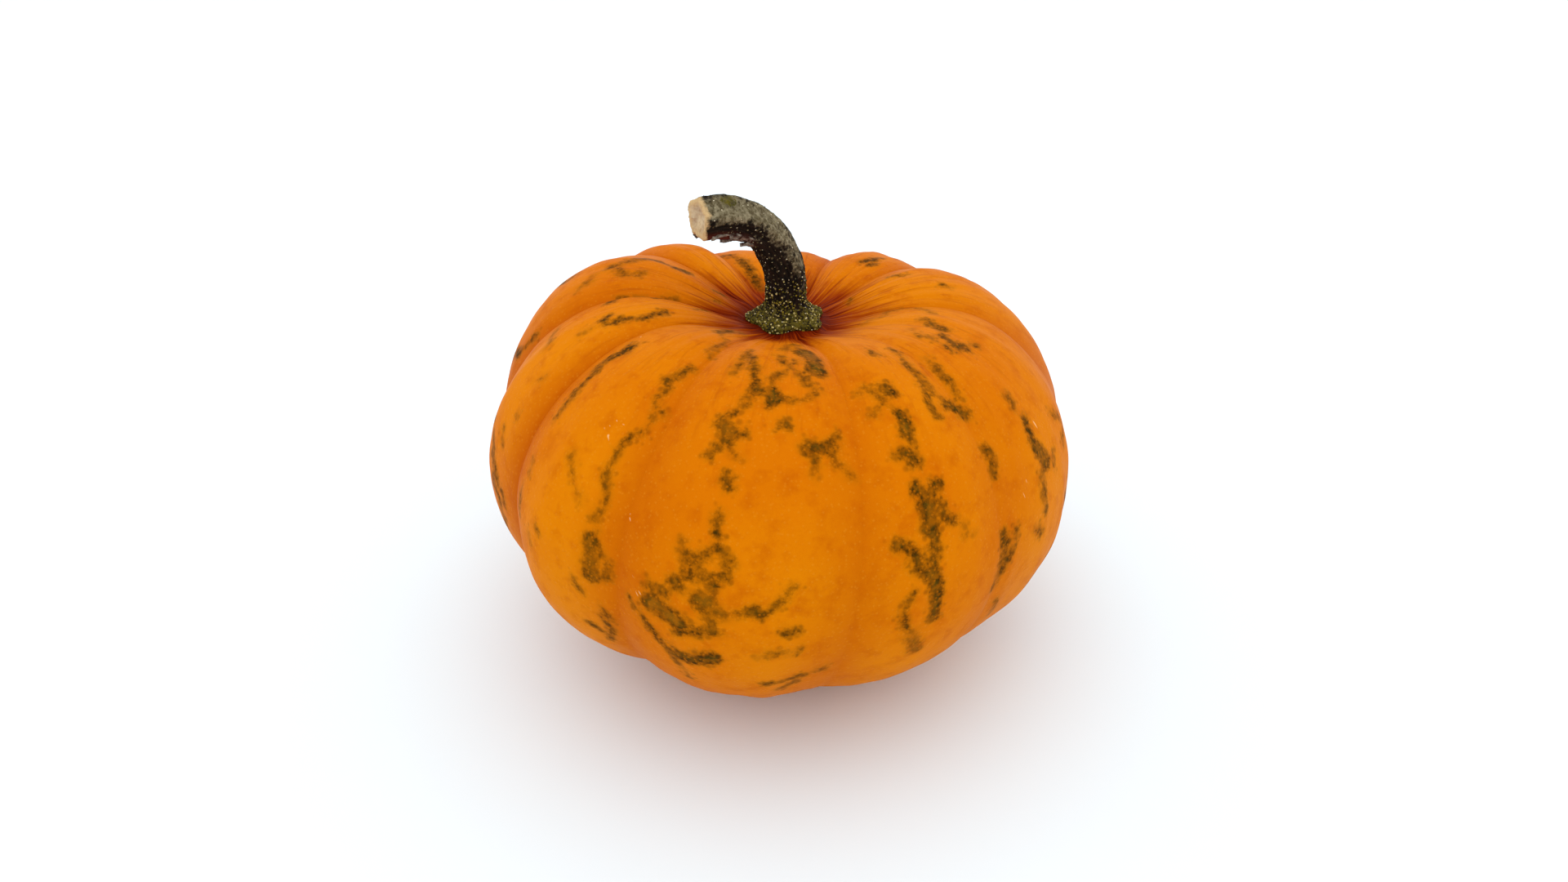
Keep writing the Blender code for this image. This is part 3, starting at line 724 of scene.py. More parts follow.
roughness = put(look, "ShaderNodeMapRange", {"Value": mottle, "To Min": 0.38, "To Max": 0.56})
roughness = put(look, "ShaderNodeMath", (covered, 0.12, roughness), operation="MULTIPLY_ADD")
relief = put(look, "ShaderNodeMath", (pore, 0.35), operation="MULTIPLY")
relief = put(look, "ShaderNodeMath", (mottle, 1.0, relief), operation="MULTIPLY_ADD")
relief = put(look, "ShaderNodeMath", (fine, 0.35, relief), operation="MULTIPLY_ADD")
bump = put(look, "ShaderNodeBump", {"Strength": 0.35, "Distance": 0.0003, "Height": relief})
for socket, value in (("Base Color", colour), ("Roughness", roughness), ("Normal", bump)):
    look.links.new(value.outputs[2 if value.type == "MIX" else 0], finish.inputs[socket])
finish.inputs["IOR"].default_value = 1.45
finish.inputs["Specular IOR Level"].default_value = 0.015

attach(fruit, "root")
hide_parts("fruit")

# ---- Stem ----------------------------------------------------------------------------------
# The dried stalk that the fruit hung by: five ridges that spread into five toes where it has
# grown onto the crown. It rises, bends over to the front left, and ends where it was cut.
FOOT_REACH = 0.0084           # core line to the tips of the toes
FOOT_VALLEY = 0.0065          # core line to the foot between two toes
STEM_RISE = 0.0064            # straight part, up to where the bend starts
BEND_RADIUS = 0.0180
BEND_ANGLE = math.radians(90.0)
TIP_LENGTH = 0.0020
BEND_HEADING = math.radians(-57.0)    # the way it bends over, as a rib angle
STEM_LENGTH = STEM_RISE + BEND_RADIUS * BEND_ANGLE + TIP_LENGTH
STEM_SIZES = {
    "Rise": STEM_RISE,
    "Bend radius": BEND_RADIUS,
    "Bend angle": BEND_ANGLE,
    "Length": STEM_LENGTH,
    "Heading": BEND_HEADING - math.pi / 2,
    "Foot place": (foot_x, foot_y, stem_low[2]),
    "Foot reach": FOOT_REACH,
    "Foot valley": FOOT_VALLEY,
    "Foot thickness": 0.0008,
    "Foot rise": 0.0048,
    "Toe turn": math.radians(36.0),
    "Shank radius": 0.0041,
    "Shank ridge": 0.0003,
    "Tip radius": 0.0039,
    "Waist": -0.00025,
    "Cut rounding": 0.0006,
    "Cut dish": 0.0006,
    "Cut roughness": 0.0012,
    "Gnarl": 0.0009,
    "Fibre": 0.0005,
}
RIDGES = 5.0
RIDGE_TWIST = 22.0            # radians that the ridges turn in a metre of stalk
RING_CROWDING = 1.15          # over 1, it sets the mesh's rings closer together near the foot
TIP_FROM = 0.72               # share of the length at which the tip starts to swell
GNARL_RATE = 1.5              # waves in one radian round the stalk
FIBRE_RATE = 5.0
FIBRE_STRETCH = (1.0, 1.0, 0.13)
TORN_GAIN = 2.5               # how much coarser the fibre is where the bark tore


def stem_place(tree, size, along, around, reach):
    """Nodes for the place at a length along the stem, an angle round it (0 is the inside of the
    bend) and a distance from its middle line."""
    straight = put(tree, "ShaderNodeMath", (along, size["Rise"]), operation="MINIMUM")
    past = put(tree, "ShaderNodeMath", (along, size["Rise"]), operation="SUBTRACT")
    turned = put(tree, "ShaderNodeMath", (past, size["Bend radius"]), operation="DIVIDE")
    turned = put(tree, "ShaderNodeMath", (turned, 0.0), operation="MAXIMUM")
    turned = put(tree, "ShaderNodeMath", (turned, size["Bend angle"]), operation="MINIMUM")
    used = put(tree, "ShaderNodeMath", (turned, size["Bend radius"]), operation="MULTIPLY")
    beyond = put(tree, "ShaderNodeMath", (past, used), operation="SUBTRACT")
    beyond = put(tree, "ShaderNodeMath", (beyond, 0.0), operation="MAXIMUM")
    sine_t = put(tree, "ShaderNodeMath", (turned,), operation="SINE")
    cosine_t = put(tree, "ShaderNodeMath", (turned,), operation="COSINE")
    inward = put(tree, "ShaderNodeMath", (put(tree, "ShaderNodeMath", (around,),
                 operation="COSINE"), reach), operation="MULTIPLY")
    sideways = put(tree, "ShaderNodeMath", (put(tree, "ShaderNodeMath", (around,),
                   operation="SINE"), reach), operation="MULTIPLY")
    ahead = put(tree, "ShaderNodeMath", (1.0, cosine_t), operation="SUBTRACT")
    ahead = put(tree, "ShaderNodeMath", (ahead, size["Bend radius"]), operation="MULTIPLY")
    ahead = put(tree, "ShaderNodeMath", (beyond, sine_t, ahead), operation="MULTIPLY_ADD")
    ahead = put(tree, "ShaderNodeMath", (inward, cosine_t, ahead), operation="MULTIPLY_ADD")
    above = put(tree, "ShaderNodeMath", (sine_t, size["Bend radius"], straight),
                operation="MULTIPLY_ADD")
    above = put(tree, "ShaderNodeMath", (beyond, cosine_t, above), operation="MULTIPLY_ADD")
    drop = put(tree, "ShaderNodeMath", (inward, sine_t), operation="MULTIPLY")
    above = put(tree, "ShaderNodeMath", (above, drop), operation="SUBTRACT")
    upright = put(tree, "ShaderNodeCombineXYZ", (ahead, sideways, above))
    headed = put(tree, "ShaderNodeVectorRotate", {"Vector": upright, "Angle": size["Heading"]},
                 rotation_type="Z_AXIS")
    return put(tree, "ShaderNodeVectorMath", (headed, size["Foot place"]), operation="ADD")


bark = bpy.data.materials.new("dry_stem_bark")
cut_wood = bpy.data.materials.new("cut_stem_wood")
stalk, size = new_rule("ridged_stem", STEM_SIZES)
tube = put(stalk, "GeometryNodeMeshCylinder", {"Vertices": 120, "Side Segments": 190,
           "Fill Segments": 9, "Radius": 1.0, "Depth": 1.0}, fill_type="TRIANGLE_FAN")
spot = put(stalk, "ShaderNodeSeparateXYZ", (put(stalk, "GeometryNodeInputPosition"),)).outputs
share = put(stalk, "ShaderNodeMath", (spot["Z"], 0.5), operation="ADD")
share = put(stalk, "ShaderNodeMath", (put(stalk, "ShaderNodeMath", (share, 0.0),
            operation="MAXIMUM"), RING_CROWDING), operation="POWER")
along = put(stalk, "ShaderNodeMath", (share, size["Length"]), operation="MULTIPLY")
around_stem = put(stalk, "ShaderNodeMath", (spot["Y"], spot["X"]), operation="ARCTAN2")
from_middle = put(stalk, "ShaderNodeVectorMath", (put(stalk, "ShaderNodeCombineXYZ",
                  (spot["X"], spot["Y"])),), operation="LENGTH").outputs["Value"]

# Toes and ridges: the foot spreads down to its toes, and the tip swells a little again.
five = put(stalk, "ShaderNodeMath", (around_stem, size["Toe turn"]), operation="ADD")
five = put(stalk, "ShaderNodeMath", (five, RIDGES), operation="MULTIPLY")
five = put(stalk, "ShaderNodeMath", (put(stalk, "ShaderNodeMath", (along, RIDGE_TWIST),
           operation="MULTIPLY"), five), operation="ADD")
ridge_share = put(stalk, "ShaderNodeMath", (put(stalk, "ShaderNodeMath", (five,),
                  operation="COSINE"), 0.5, 0.5), operation="MULTIPLY_ADD")
foot_part = put(stalk, "ShaderNodeMapRange", {"Value": along, "From Min": size["Foot thickness"],
                "From Max": size["Foot rise"], "To Min": 1.0, "To Max": 0.0})
flare = put(stalk, "ShaderNodeMath", (foot_part, 2.0), operation="POWER")
ridge_top = put(stalk, "ShaderNodeMath", (size["Shank radius"], size["Shank ridge"]), operation="ADD")
ridge_foot = put(stalk, "ShaderNodeMath", (size["Shank radius"], size["Shank ridge"]),
                 operation="SUBTRACT")
outer = put(stalk, "ShaderNodeMix", (flare, ridge_top, size["Foot reach"]))
inner = put(stalk, "ShaderNodeMix", (flare, ridge_foot, size["Foot valley"]))
reach = put(stalk, "ShaderNodeMix", (ridge_share, inner, outer))
tip_part = put(stalk, "ShaderNodeMapRange", {"Value": share, "From Min": TIP_FROM},
               interpolation_type="SMOOTHSTEP")
waist = put(stalk, "ShaderNodeMapRange", {"Value": share, "From Min": 0.2, "From Max": 0.6,
            "To Max": size["Waist"]}, interpolation_type="SMOOTHSTEP")
tip_gain = put(stalk, "ShaderNodeMath", (size["Tip radius"], size["Shank radius"]),
               operation="SUBTRACT")
tip_gain = put(stalk, "ShaderNodeMath", (tip_gain, size["Waist"]), operation="SUBTRACT")
reach = put(stalk, "ShaderNodeMath", (tip_part, tip_gain, reach), operation="MULTIPLY_ADD")
reach = put(stalk, "ShaderNodeMath", (reach, waist), operation="ADD")

# Gnarled bark: lumps, fibres that run along the stalk, and torn fibres inside the bend.
turn_x = put(stalk, "ShaderNodeMath", (around_stem,), operation="COSINE")
turn_y = put(stalk, "ShaderNodeMath", (around_stem,), operation="SINE")
length_in_radii = put(stalk, "ShaderNodeMath", (along, size["Shank radius"]), operation="DIVIDE")
grain_place = put(stalk, "ShaderNodeCombineXYZ", (turn_x, turn_y, length_in_radii))
fibre_place = put(stalk, "ShaderNodeVectorMath", (grain_place, FIBRE_STRETCH),
                  operation="MULTIPLY")
gnarl = put(stalk, "ShaderNodeTexNoise", {"Vector": grain_place, "Scale": GNARL_RATE,
                                          "Detail": 3.0})
fibre = put(stalk, "ShaderNodeTexNoise", {"Vector": fibre_place, "Scale": FIBRE_RATE,
                                          "Detail": 3.0})
inside_bend = put(stalk, "ShaderNodeMapRange", {"Value": turn_x, "From Min": 0.45, "From Max": 0.9},
                  interpolation_type="SMOOTHSTEP")
torn_part = put(stalk, "ShaderNodeMapRange", {"Value": share, "From Min": 0.55, "From Max": 0.75},
                interpolation_type="SMOOTHSTEP")
torn = put(stalk, "ShaderNodeMath", (inside_bend, torn_part), operation="MULTIPLY")
fibre_gain = put(stalk, "ShaderNodeMath", (torn, TORN_GAIN, 1.0), operation="MULTIPLY_ADD")
fibre_gain = put(stalk, "ShaderNodeMath", (fibre_gain, size["Fibre"]), operation="MULTIPLY")
for unevenness, amount in ((gnarl, size["Gnarl"]), (fibre, fibre_gain)):
    centred = put(stalk, "ShaderNodeMath", (unevenness, 0.5), operation="SUBTRACT")
    reach = put(stalk, "ShaderNodeMath", (centred, amount, reach), operation="MULTIPLY_ADD")

# The cut: its rim is rounded, and its face is dished and rough.
from_end = put(stalk, "ShaderNodeMath", (size["Length"], along), operation="SUBTRACT")
rim = put(stalk, "ShaderNodeMapRange", {"Value": from_end, "From Max": size["Cut rounding"],
          "To Min": 1.0, "To Max": 0.0})
rim = put(stalk, "ShaderNodeMath", (rim, 2.0), operation="POWER")
rim = put(stalk, "ShaderNodeMath", (rim, size["Cut rounding"]), operation="MULTIPLY")
reach = put(stalk, "ShaderNodeMath", (reach, rim), operation="SUBTRACT")
reach = put(stalk, "ShaderNodeMath", (reach, from_middle), operation="MULTIPLY")
at_cut = put(stalk, "ShaderNodeMath", (share, 0.9999), operation="GREATER_THAN")
dished = put(stalk, "ShaderNodeMath", (from_middle, from_middle), operation="MULTIPLY")
dished = put(stalk, "ShaderNodeMath", (dished, 1.0), operation="SUBTRACT")
dished = put(stalk, "ShaderNodeMath", (dished, size["Cut dish"]), operation="MULTIPLY")
dished = put(stalk, "ShaderNodeMath", (dished, at_cut), operation="MULTIPLY")
rough_cut = put(stalk, "ShaderNodeTexNoise", {"Vector": put(stalk, "GeometryNodeInputPosition"),
                                              "Scale": 3.0, "Detail": 4.0})
rough_cut = put(stalk, "ShaderNodeMath", (rough_cut, 0.5), operation="SUBTRACT")
rough_cut = put(stalk, "ShaderNodeMath", (rough_cut, at_cut), operation="MULTIPLY")
dished = put(stalk, "ShaderNodeMath", (rough_cut, size["Cut roughness"], dished),
             operation="MULTIPLY_ADD")
along_cut = put(stalk, "ShaderNodeMath", (along, dished), operation="ADD")

grown_stem = tube.outputs["Mesh"]
for label, value, kind in (("stem_along", along, "FLOAT"), ("stem_torn", torn, "FLOAT"),
                           ("stem_across", from_middle, "FLOAT"),
                           ("stem_grain", grain_place, "FLOAT_VECTOR")):
    grown_stem = put(stalk, "GeometryNodeStoreNamedAttribute",
                     {"Geometry": grown_stem, "Name": label, "Value": value},
                     data_type=kind, domain="POINT")
shaped = put(stalk, "GeometryNodeSetPosition", {"Geometry": grown_stem,
             "Position": stem_place(stalk, size, along_cut, around_stem, reach)})
smooth = put(stalk, "GeometryNodeSetShadeSmooth", {"Geometry": shaped})
plain = put(stalk, "GeometryNodeRealizeInstances", {"Geometry": smooth})
barked = put(stalk, "GeometryNodeSetMaterial", {"Geometry": plain, "Material": bark})
dressed = put(stalk, "GeometryNodeSetMaterial", {"Geometry": barked,
              "Selection": tube.outputs["Top"], "Material": cut_wood})
put(stalk, "NodeGroupOutput", {"Geometry": dressed})
stem = grown("pumpkin_stem", bpy.data.meshes.new("no_base"), stalk, STEM_SIZES)

# Bark of the dried stalk: nearly black, fibrous and dull, red-brown where it tore inside the
# bend, with grey lichen over its upper flank and moss on its foot and near its tip. Lengths
# are along the stalk, and angles go round it from the inside of the bend.
BARK_BLACK = linear("#0B0703")
BARK_BROWN = linear("#20140B")
BARK_RED = linear("#4E1C10")
LICHEN_GREY = linear("#584D34")
LICHEN_PALE = linear("#908569")
MOSS_GREEN = linear("#33300A")
MOSS_YELLOW = linear("#63571A")
WOOD_TAN = linear("#C9A878")
SHANK_RADIUS = STEM_SIZES["Shank radius"]
PATCH_SIZE = 0.004
CRUMB_SIZE = 0.0009
SPECK_SPACING = 0.0011
BARK_RATE = 9.0               # fibres in one radian; real ones are finer, drawn coarser to show
BARK_STRETCH = (1.0, 1.0, 0.16)
LICHEN_SIDE = math.radians(132.0)
LICHEN_FROM = 0.003
LICHEN_FULL = 0.018
MOSS_GONE = 0.0095
MOSS_FULL = 0.002
TUFT_SIDE = math.radians(150.0)
TUFT_HEIGHT = STEM_LENGTH - 0.0052
BARE_FROM = STEM_LENGTH - 0.0011
BARE_FULL = STEM_LENGTH - 0.0003

bark.use_nodes = True
look = bark.node_tree
finish = look.nodes["Principled BSDF"]
place = put(look, "ShaderNodeTexCoord").outputs["Object"]
along_here = put(look, "ShaderNodeAttribute", attribute_name="stem_along").outputs["Fac"]
torn_here = put(look, "ShaderNodeAttribute", attribute_name="stem_torn").outputs["Fac"]
grain = put(look, "ShaderNodeAttribute", attribute_name="stem_grain").outputs["Vector"]
patches = put(look, "ShaderNodeTexNoise", {"Vector": place, "Scale": 1 / PATCH_SIZE,
                                           "Detail": 4.0, "Roughness": 0.7})
crumb = put(look, "ShaderNodeTexNoise", {"Vector": place, "Scale": 1 / CRUMB_SIZE,
                                         "Detail": 3.0, "Roughness": 0.6})
fibre_place = put(look, "ShaderNodeVectorMath", (grain, BARK_STRETCH), operation="MULTIPLY")
fibres = put(look, "ShaderNodeTexNoise", {"Vector": fibre_place, "Scale": BARK_RATE,
                                          "Detail": 4.0})
bark_part = put(look, "ShaderNodeMapRange", {"Value": fibres, "From Min": 0.42, "From Max": 0.62})
colour = put(look, "ShaderNodeMix", (bark_part, BARK_BLACK, BARK_BROWN), data_type="RGBA")
colour = put(look, "ShaderNodeMix", (torn_here, colour, BARK_RED), data_type="RGBA")

# Lichen keeps to the upper flank, which is a direction on the grain's circle.
flank = put(look, "ShaderNodeVectorMath", (grain, (math.cos(LICHEN_SIDE),
            math.sin(LICHEN_SIDE), 0.0)), operation="DOT_PRODUCT").outputs["Value"]
lichen = put(look, "ShaderNodeMapRange", {"Value": flank, "From Min": 0.45, "From Max": 1.0,
                                          "To Max": 0.34})
high_up = put(look, "ShaderNodeMapRange", {"Value": along_here, "From Min": LICHEN_FROM,
                                           "From Max": LICHEN_FULL})
lichen = put(look, "ShaderNodeMath", (lichen, high_up), operation="MULTIPLY")
lichen = put(look, "ShaderNodeMath", (lichen, patches), operation="ADD")
lichen = put(look, "ShaderNodeMath", (crumb, 0.35, lichen), operation="MULTIPLY_ADD")
lichen = put(look, "ShaderNodeMapRange", {"Value": lichen, "From Min": 0.8, "From Max": 0.96,
                                          "To Max": 0.9})
lichen_tone = put(look, "ShaderNodeMapRange", {"Value": crumb, "From Min": 0.4, "From Max": 0.65})
lichen_colour = put(look, "ShaderNodeMix", (lichen_tone, LICHEN_GREY, LICHEN_PALE),
                    data_type="RGBA")
colour = put(look, "ShaderNodeMix", (lichen, colour, lichen_colour), data_type="RGBA")

# Pale specks on the black bark.
speck = put(look, "ShaderNodeTexVoronoi", {"Vector": place, "Scale": 1 / SPECK_SPACING})
speck = put(look, "ShaderNodeMapRange", {"Value": speck.outputs["Distance"], "From Min": 0.26,
                                         "From Max": 0.16, "To Max": 0.8})
colour = put(look, "ShaderNodeMix", (speck, colour, LICHEN_GREY), data_type="RGBA")

# Moss on the foot, and one tuft of it near the tip.
on_foot = put(look, "ShaderNodeMapRange", {"Value": along_here, "From Min": MOSS_GONE,
                                           "From Max": MOSS_FULL, "To Max": 0.46})
tuft = put(look, "ShaderNodeVectorMath", (grain, (math.cos(TUFT_SIDE), math.sin(TUFT_SIDE),
           TUFT_HEIGHT / SHANK_RADIUS)), operation="DISTANCE").outputs["Value"]
tuft = put(look, "ShaderNodeMapRange", {"Value": tuft, "From Min": 0.75, "From Max": 0.2,
                                        "To Max": 0.5})
mossy = put(look, "ShaderNodeMath", (on_foot, tuft), operation="MAXIMUM")
mossy = put(look, "ShaderNodeMath", (mossy, crumb), operation="ADD")
mossy = put(look, "ShaderNodeMapRange", {"Value": mossy, "From Min": 0.86, "From Max": 1.0})
moss_tone = put(look, "ShaderNodeMapRange", {"Value": patches, "From Min": 0.4, "From Max": 0.6})
moss_colour = put(look, "ShaderNodeMix", (moss_tone, MOSS_GREEN, MOSS_YELLOW), data_type="RGBA")
colour = put(look, "ShaderNodeMix", (mossy, colour, moss_colour), data_type="RGBA")

# Bare wood where the bark broke away from the rim of the cut.
bare = put(look, "ShaderNodeMath", (put(look, "ShaderNodeMath", (patches, 0.5),
           operation="SUBTRACT"), 0.005, along_here), operation="MULTIPLY_ADD")
bare = put(look, "ShaderNodeMapRange", {"Value": bare, "From Min": BARE_FROM,
                                        "From Max": BARE_FULL})
colour = put(look, "ShaderNodeMix", (bare, colour, WOOD_TAN), data_type="RGBA")
relief = put(look, "ShaderNodeMath", (crumb, 0.8, fibres), operation="MULTIPLY_ADD")
bump = put(look, "ShaderNodeBump", {"Strength": 0.8, "Distance": 0.0005, "Height": relief})
look.links.new(colour.outputs[2], finish.inputs["Base Color"])
look.links.new(bump.outputs["Normal"], finish.inputs["Normal"])
finish.inputs["Roughness"].default_value = 0.85
finish.inputs["Specular IOR Level"].default_value = 0.12

# The cut end is dry, pithy plant wood, cut across: pale and dull, darker towards its lower
# side, and flecked with brown.
PITH_PALE = linear("#CDB692")
PITH_SMUDGE = linear("#A98F72")
PITH_LOW = linear("#AE8650")
FLECK_BROWN = linear("#8C6238")
SMUDGE_SIZE = 0.003
PITH_SIZE = 0.0006            # real pith has cells of about 0.2 mm; drawn coarser to be seen
LOW_FROM = 0.0945             # heights between which the cut face darkens
LOW_FULL = 0.0905

cut_wood.use_nodes = True
look = cut_wood.node_tree
finish = look.nodes["Principled BSDF"]
place = put(look, "ShaderNodeTexCoord").outputs["Object"]
across_cut = put(look, "ShaderNodeAttribute", attribute_name="stem_across").outputs["Fac"]
smudge = put(look, "ShaderNodeTexNoise", {"Vector": place, "Scale": 1 / SMUDGE_SIZE,
                                          "Detail": 3.0})
pith = put(look, "ShaderNodeTexNoise", {"Vector": place, "Scale": 1 / PITH_SIZE, "Detail": 2.0})
smudged = put(look, "ShaderNodeMapRange", {"Value": smudge, "From Min": 0.45, "From Max": 0.65,
                                           "To Max": 0.8})
colour = put(look, "ShaderNodeMix", (smudged, PITH_PALE, PITH_SMUDGE), data_type="RGBA")
above_floor = put(look, "ShaderNodeSeparateXYZ", (place,)).outputs["Z"]
above_floor = put(look, "ShaderNodeMath", (smudge, 0.004, above_floor), operation="MULTIPLY_ADD")
low = put(look, "ShaderNodeMapRange", {"Value": above_floor, "From Min": LOW_FROM,
                                       "From Max": LOW_FULL, "To Max": 0.75})
colour = put(look, "ShaderNodeMix", (low, colour, PITH_LOW), data_type="RGBA")
rim_here = put(look, "ShaderNodeMath", (put(look, "ShaderNodeMath", (smudge, 0.5),
               operation="SUBTRACT"), 0.5, across_cut), operation="MULTIPLY_ADD")
rim_here = put(look, "ShaderNodeMapRange", {"Value": rim_here, "From Min": 0.72, "From Max": 1.0})
colour = put(look, "ShaderNodeMix", (rim_here, colour, WOOD_TAN), data_type="RGBA")
grit = put(look, "ShaderNodeMapRange", {"Value": pith, "From Min": 0.56, "From Max": 0.75,
                                        "To Max": 0.5})
colour = put(look, "ShaderNodeMix", (grit, colour, FLECK_BROWN), data_type="RGBA")
bump = put(look, "ShaderNodeBump", {"Strength": 0.6, "Distance": 0.0004, "Height": pith})
look.links.new(colour.outputs[2], finish.inputs["Base Color"])
look.links.new(bump.outputs["Normal"], finish.inputs["Normal"])
finish.inputs["Roughness"].default_value = 0.9
finish.inputs["Specular IOR Level"].default_value = 0.2

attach(stem, "root")
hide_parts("stem")

# ---- Moss crumbs and lichen specks ---------------------------------------------------------
# Grains of dry moss that crust the stem's foot, and specks of lichen further up the bark: tiny
# loose grains, each a ball of twenty faces pressed a little way into the bark.
GRAIN_SIZES = {
    "Grain": 0.00030,         # radius of the largest grains
    "Spacing": 0.00046,
    "Thickest below": 0.0034,     # length along the stem up to which they stand closest
    "None above": 0.0110,
}
SPECK_SIZES = {"Grain": 0.00020, "Spacing": 0.0012, "Thickest below": 0.0300,
               "None above": 0.0360}
GRAIN_SEED = 3
SPECK_SEED = 8
LEAST_GRAIN = 0.45            # the smallest grain, as a share of the largest
FULL_DENSITY = 6.0e6          # more grains a square metre than the spacing has room for
MOSS_TONES = (linear("#3C3809"), linear("#7C6C1C"), linear("#CDBD7C"))
LICHEN_TONES = (linear("#5E5434"), linear("#8E8360"), linear("#D2C9AC"))

moss = bpy.data.materials.new("dry_moss")
lichen_dust = bpy.data.materials.new("lichen_dust")


def scattered(name, sizes, seed, finish_material):
    """Grains over the stem's bark, closest low down, as one plain mesh."""
    tree, size = new_rule(name + "_rule", sizes)
    along = put(tree, "GeometryNodeInputNamedAttribute", ("stem_along",), data_type="FLOAT")
    across = put(tree, "GeometryNodeInputNamedAttribute", ("stem_across",), data_type="FLOAT")
    on_bark = put(tree, "ShaderNodeMath", (across, 0.98), operation="GREATER_THAN")
    crowd = put(tree, "ShaderNodeMapRange", {"Value": along, "From Min": size["None above"],
                                             "From Max": size["Thickest below"]})
    spots = put(tree, "GeometryNodeDistributePointsOnFaces", {
        "Mesh": size["Geometry"], "Selection": on_bark, "Distance Min": size["Spacing"],
        "Density Max": FULL_DENSITY, "Density Factor": crowd, "Seed": seed},
        distribute_method="POISSON")
    ball = put(tree, "GeometryNodeMeshIcoSphere", {"Radius": 1.0, "Subdivisions": 1})
    least = put(tree, "ShaderNodeMath", (size["Grain"], LEAST_GRAIN), operation="MULTIPLY")
    grain = put(tree, "FunctionNodeRandomValue", {"Min": least, "Max": size["Grain"]})
    stretch = put(tree, "FunctionNodeRandomValue", {"Min": (0.7, 0.7, 0.5), "Max": (1.3, 1.0, 0.9),
                  "Seed": 1}, data_type="FLOAT_VECTOR")
    scale = put(tree, "ShaderNodeVectorMath", {"Vector": stretch, "Scale": grain},
                operation="SCALE")
    grains = put(tree, "GeometryNodeInstanceOnPoints", {"Points": spots, "Instance": ball,
                 "Rotation": spots.outputs["Rotation"], "Scale": scale})
    tone = put(tree, "FunctionNodeRandomValue", {"Seed": 2})
    toned = put(tree, "GeometryNodeStoreNamedAttribute", {"Geometry": grains,
                "Name": "grain_tone", "Value": tone}, data_type="FLOAT", domain="INSTANCE")
    plain = put(tree, "GeometryNodeRealizeInstances", {"Geometry": toned})
    dressed = put(tree, "GeometryNodeSetMaterial", {"Geometry": plain,
                                                    "Material": finish_material})
    put(tree, "NodeGroupOutput", {"Geometry": dressed})
    return grown(name, stem.data.copy(), tree, sizes)


moss_crumbs = scattered("moss_crumbs", GRAIN_SIZES, GRAIN_SEED, moss)
lichen_specks = scattered("lichen_specks", SPECK_SIZES, SPECK_SEED, lichen_dust)

# Dry moss: dull green to straw, each grain its own tone. Lichen dust: chalky and pale. Both
# scatter light evenly and have no gloss.
for material, tones in ((moss, MOSS_TONES), (lichen_dust, LICHEN_TONES)):
    material.use_nodes = True
    look = material.node_tree
    finish = look.nodes["Principled BSDF"]
    tone = put(look, "ShaderNodeAttribute", attribute_name="grain_tone").outputs["Fac"]
    low_tone = put(look, "ShaderNodeMapRange", {"Value": tone, "From Max": 0.6})
    high_tone = put(look, "ShaderNodeMapRange", {"Value": tone, "From Min": 0.62, "From Max": 0.9})
    colour = put(look, "ShaderNodeMix", (low_tone, tones[0], tones[1]), data_type="RGBA")
    colour = put(look, "ShaderNodeMix", (high_tone, colour, tones[2]), data_type="RGBA")
    look.links.new(colour.outputs[2], finish.inputs["Base Color"])
    finish.inputs["Roughness"].default_value = 0.95
    finish.inputs["Specular IOR Level"].default_value = 0.15
for piece in (moss_crumbs, lichen_specks):
    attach(piece, "root")

# ---- Torn bark -----------------------------------------------------------------------------
# Strips of bark that split off inside the bend when the stalk dried and was wrung from the
# vine. Each is still held at one end and hangs clear at the other.

# The length along the stem where a strip is held and the angle round it in degrees, then the
# strip's length, width and lift.
STRIPS = (
    (0.0252, 16.0, 0.0056, 0.0040, 0.0010),
    (0.0222, 20.0, 0.0030, 0.0026, 0.0009),
    (0.0296, 36.0, 0.0052, 0.0014, 0.0006),
    (0.0242, 44.0, 0.0060, 0.0012, 0.0005),
    (0.0318, -30.0, 0.0042, 0.0018, 0.0008),
)
STRIP_SIZES = {**STEM_SIZES, "Held at": 0.0, "Angle": 0.0, "Strip length": 0.0, "Width": 0.0,
               "Lift": 0.0, "Thickness": 0.00060, "Bark": 0.0040}
RAGGED_RATE = 7.0             # tears along a strip's edge, in one strip's length
FREE_END = 0.55               # width of the free end, as a share of the width where it is held
WEATHER_SIZE = 0.0012
TORN_BROWN = linear("#321409")
TORN_GREY = linear("#8C8072")
strip, size = new_rule("torn_strip", STRIP_SIZES)
sheet = put(strip, "GeometryNodeMeshGrid", {"Size X": 1.0, "Size Y": 1.0, "Vertices X": 18,
                                            "Vertices Y": 7})
spot = put(strip, "ShaderNodeSeparateXYZ", (put(strip, "GeometryNodeInputPosition"),)).outputs
share = put(strip, "ShaderNodeMath", (spot["X"], 0.5), operation="ADD")
ragged = put(strip, "ShaderNodeTexNoise", {"Vector": put(strip, "ShaderNodeCombineXYZ",
             (spot["X"], spot["Y"], size["Held at"])), "Scale": RAGGED_RATE, "Detail": 2.0})
ragged = put(strip, "ShaderNodeMath", (ragged, 0.5), operation="SUBTRACT")
along = put(strip, "ShaderNodeMath", (ragged, 0.5, share), operation="MULTIPLY_ADD")
along = put(strip, "ShaderNodeMath", (along, size["Strip length"], size["Held at"]),
            operation="MULTIPLY_ADD")
narrowing = put(strip, "ShaderNodeMapRange", {"Value": share, "To Min": 1.0, "To Max": FREE_END})
half_turn = put(strip, "ShaderNodeMath", (spot["Y"], narrowing), operation="MULTIPLY")
half_turn = put(strip, "ShaderNodeMath", (ragged, 0.6, half_turn), operation="MULTIPLY_ADD")
half_turn = put(strip, "ShaderNodeMath", (half_turn, size["Width"]), operation="MULTIPLY")
half_turn = put(strip, "ShaderNodeMath", (half_turn, size["Bark"]), operation="DIVIDE")
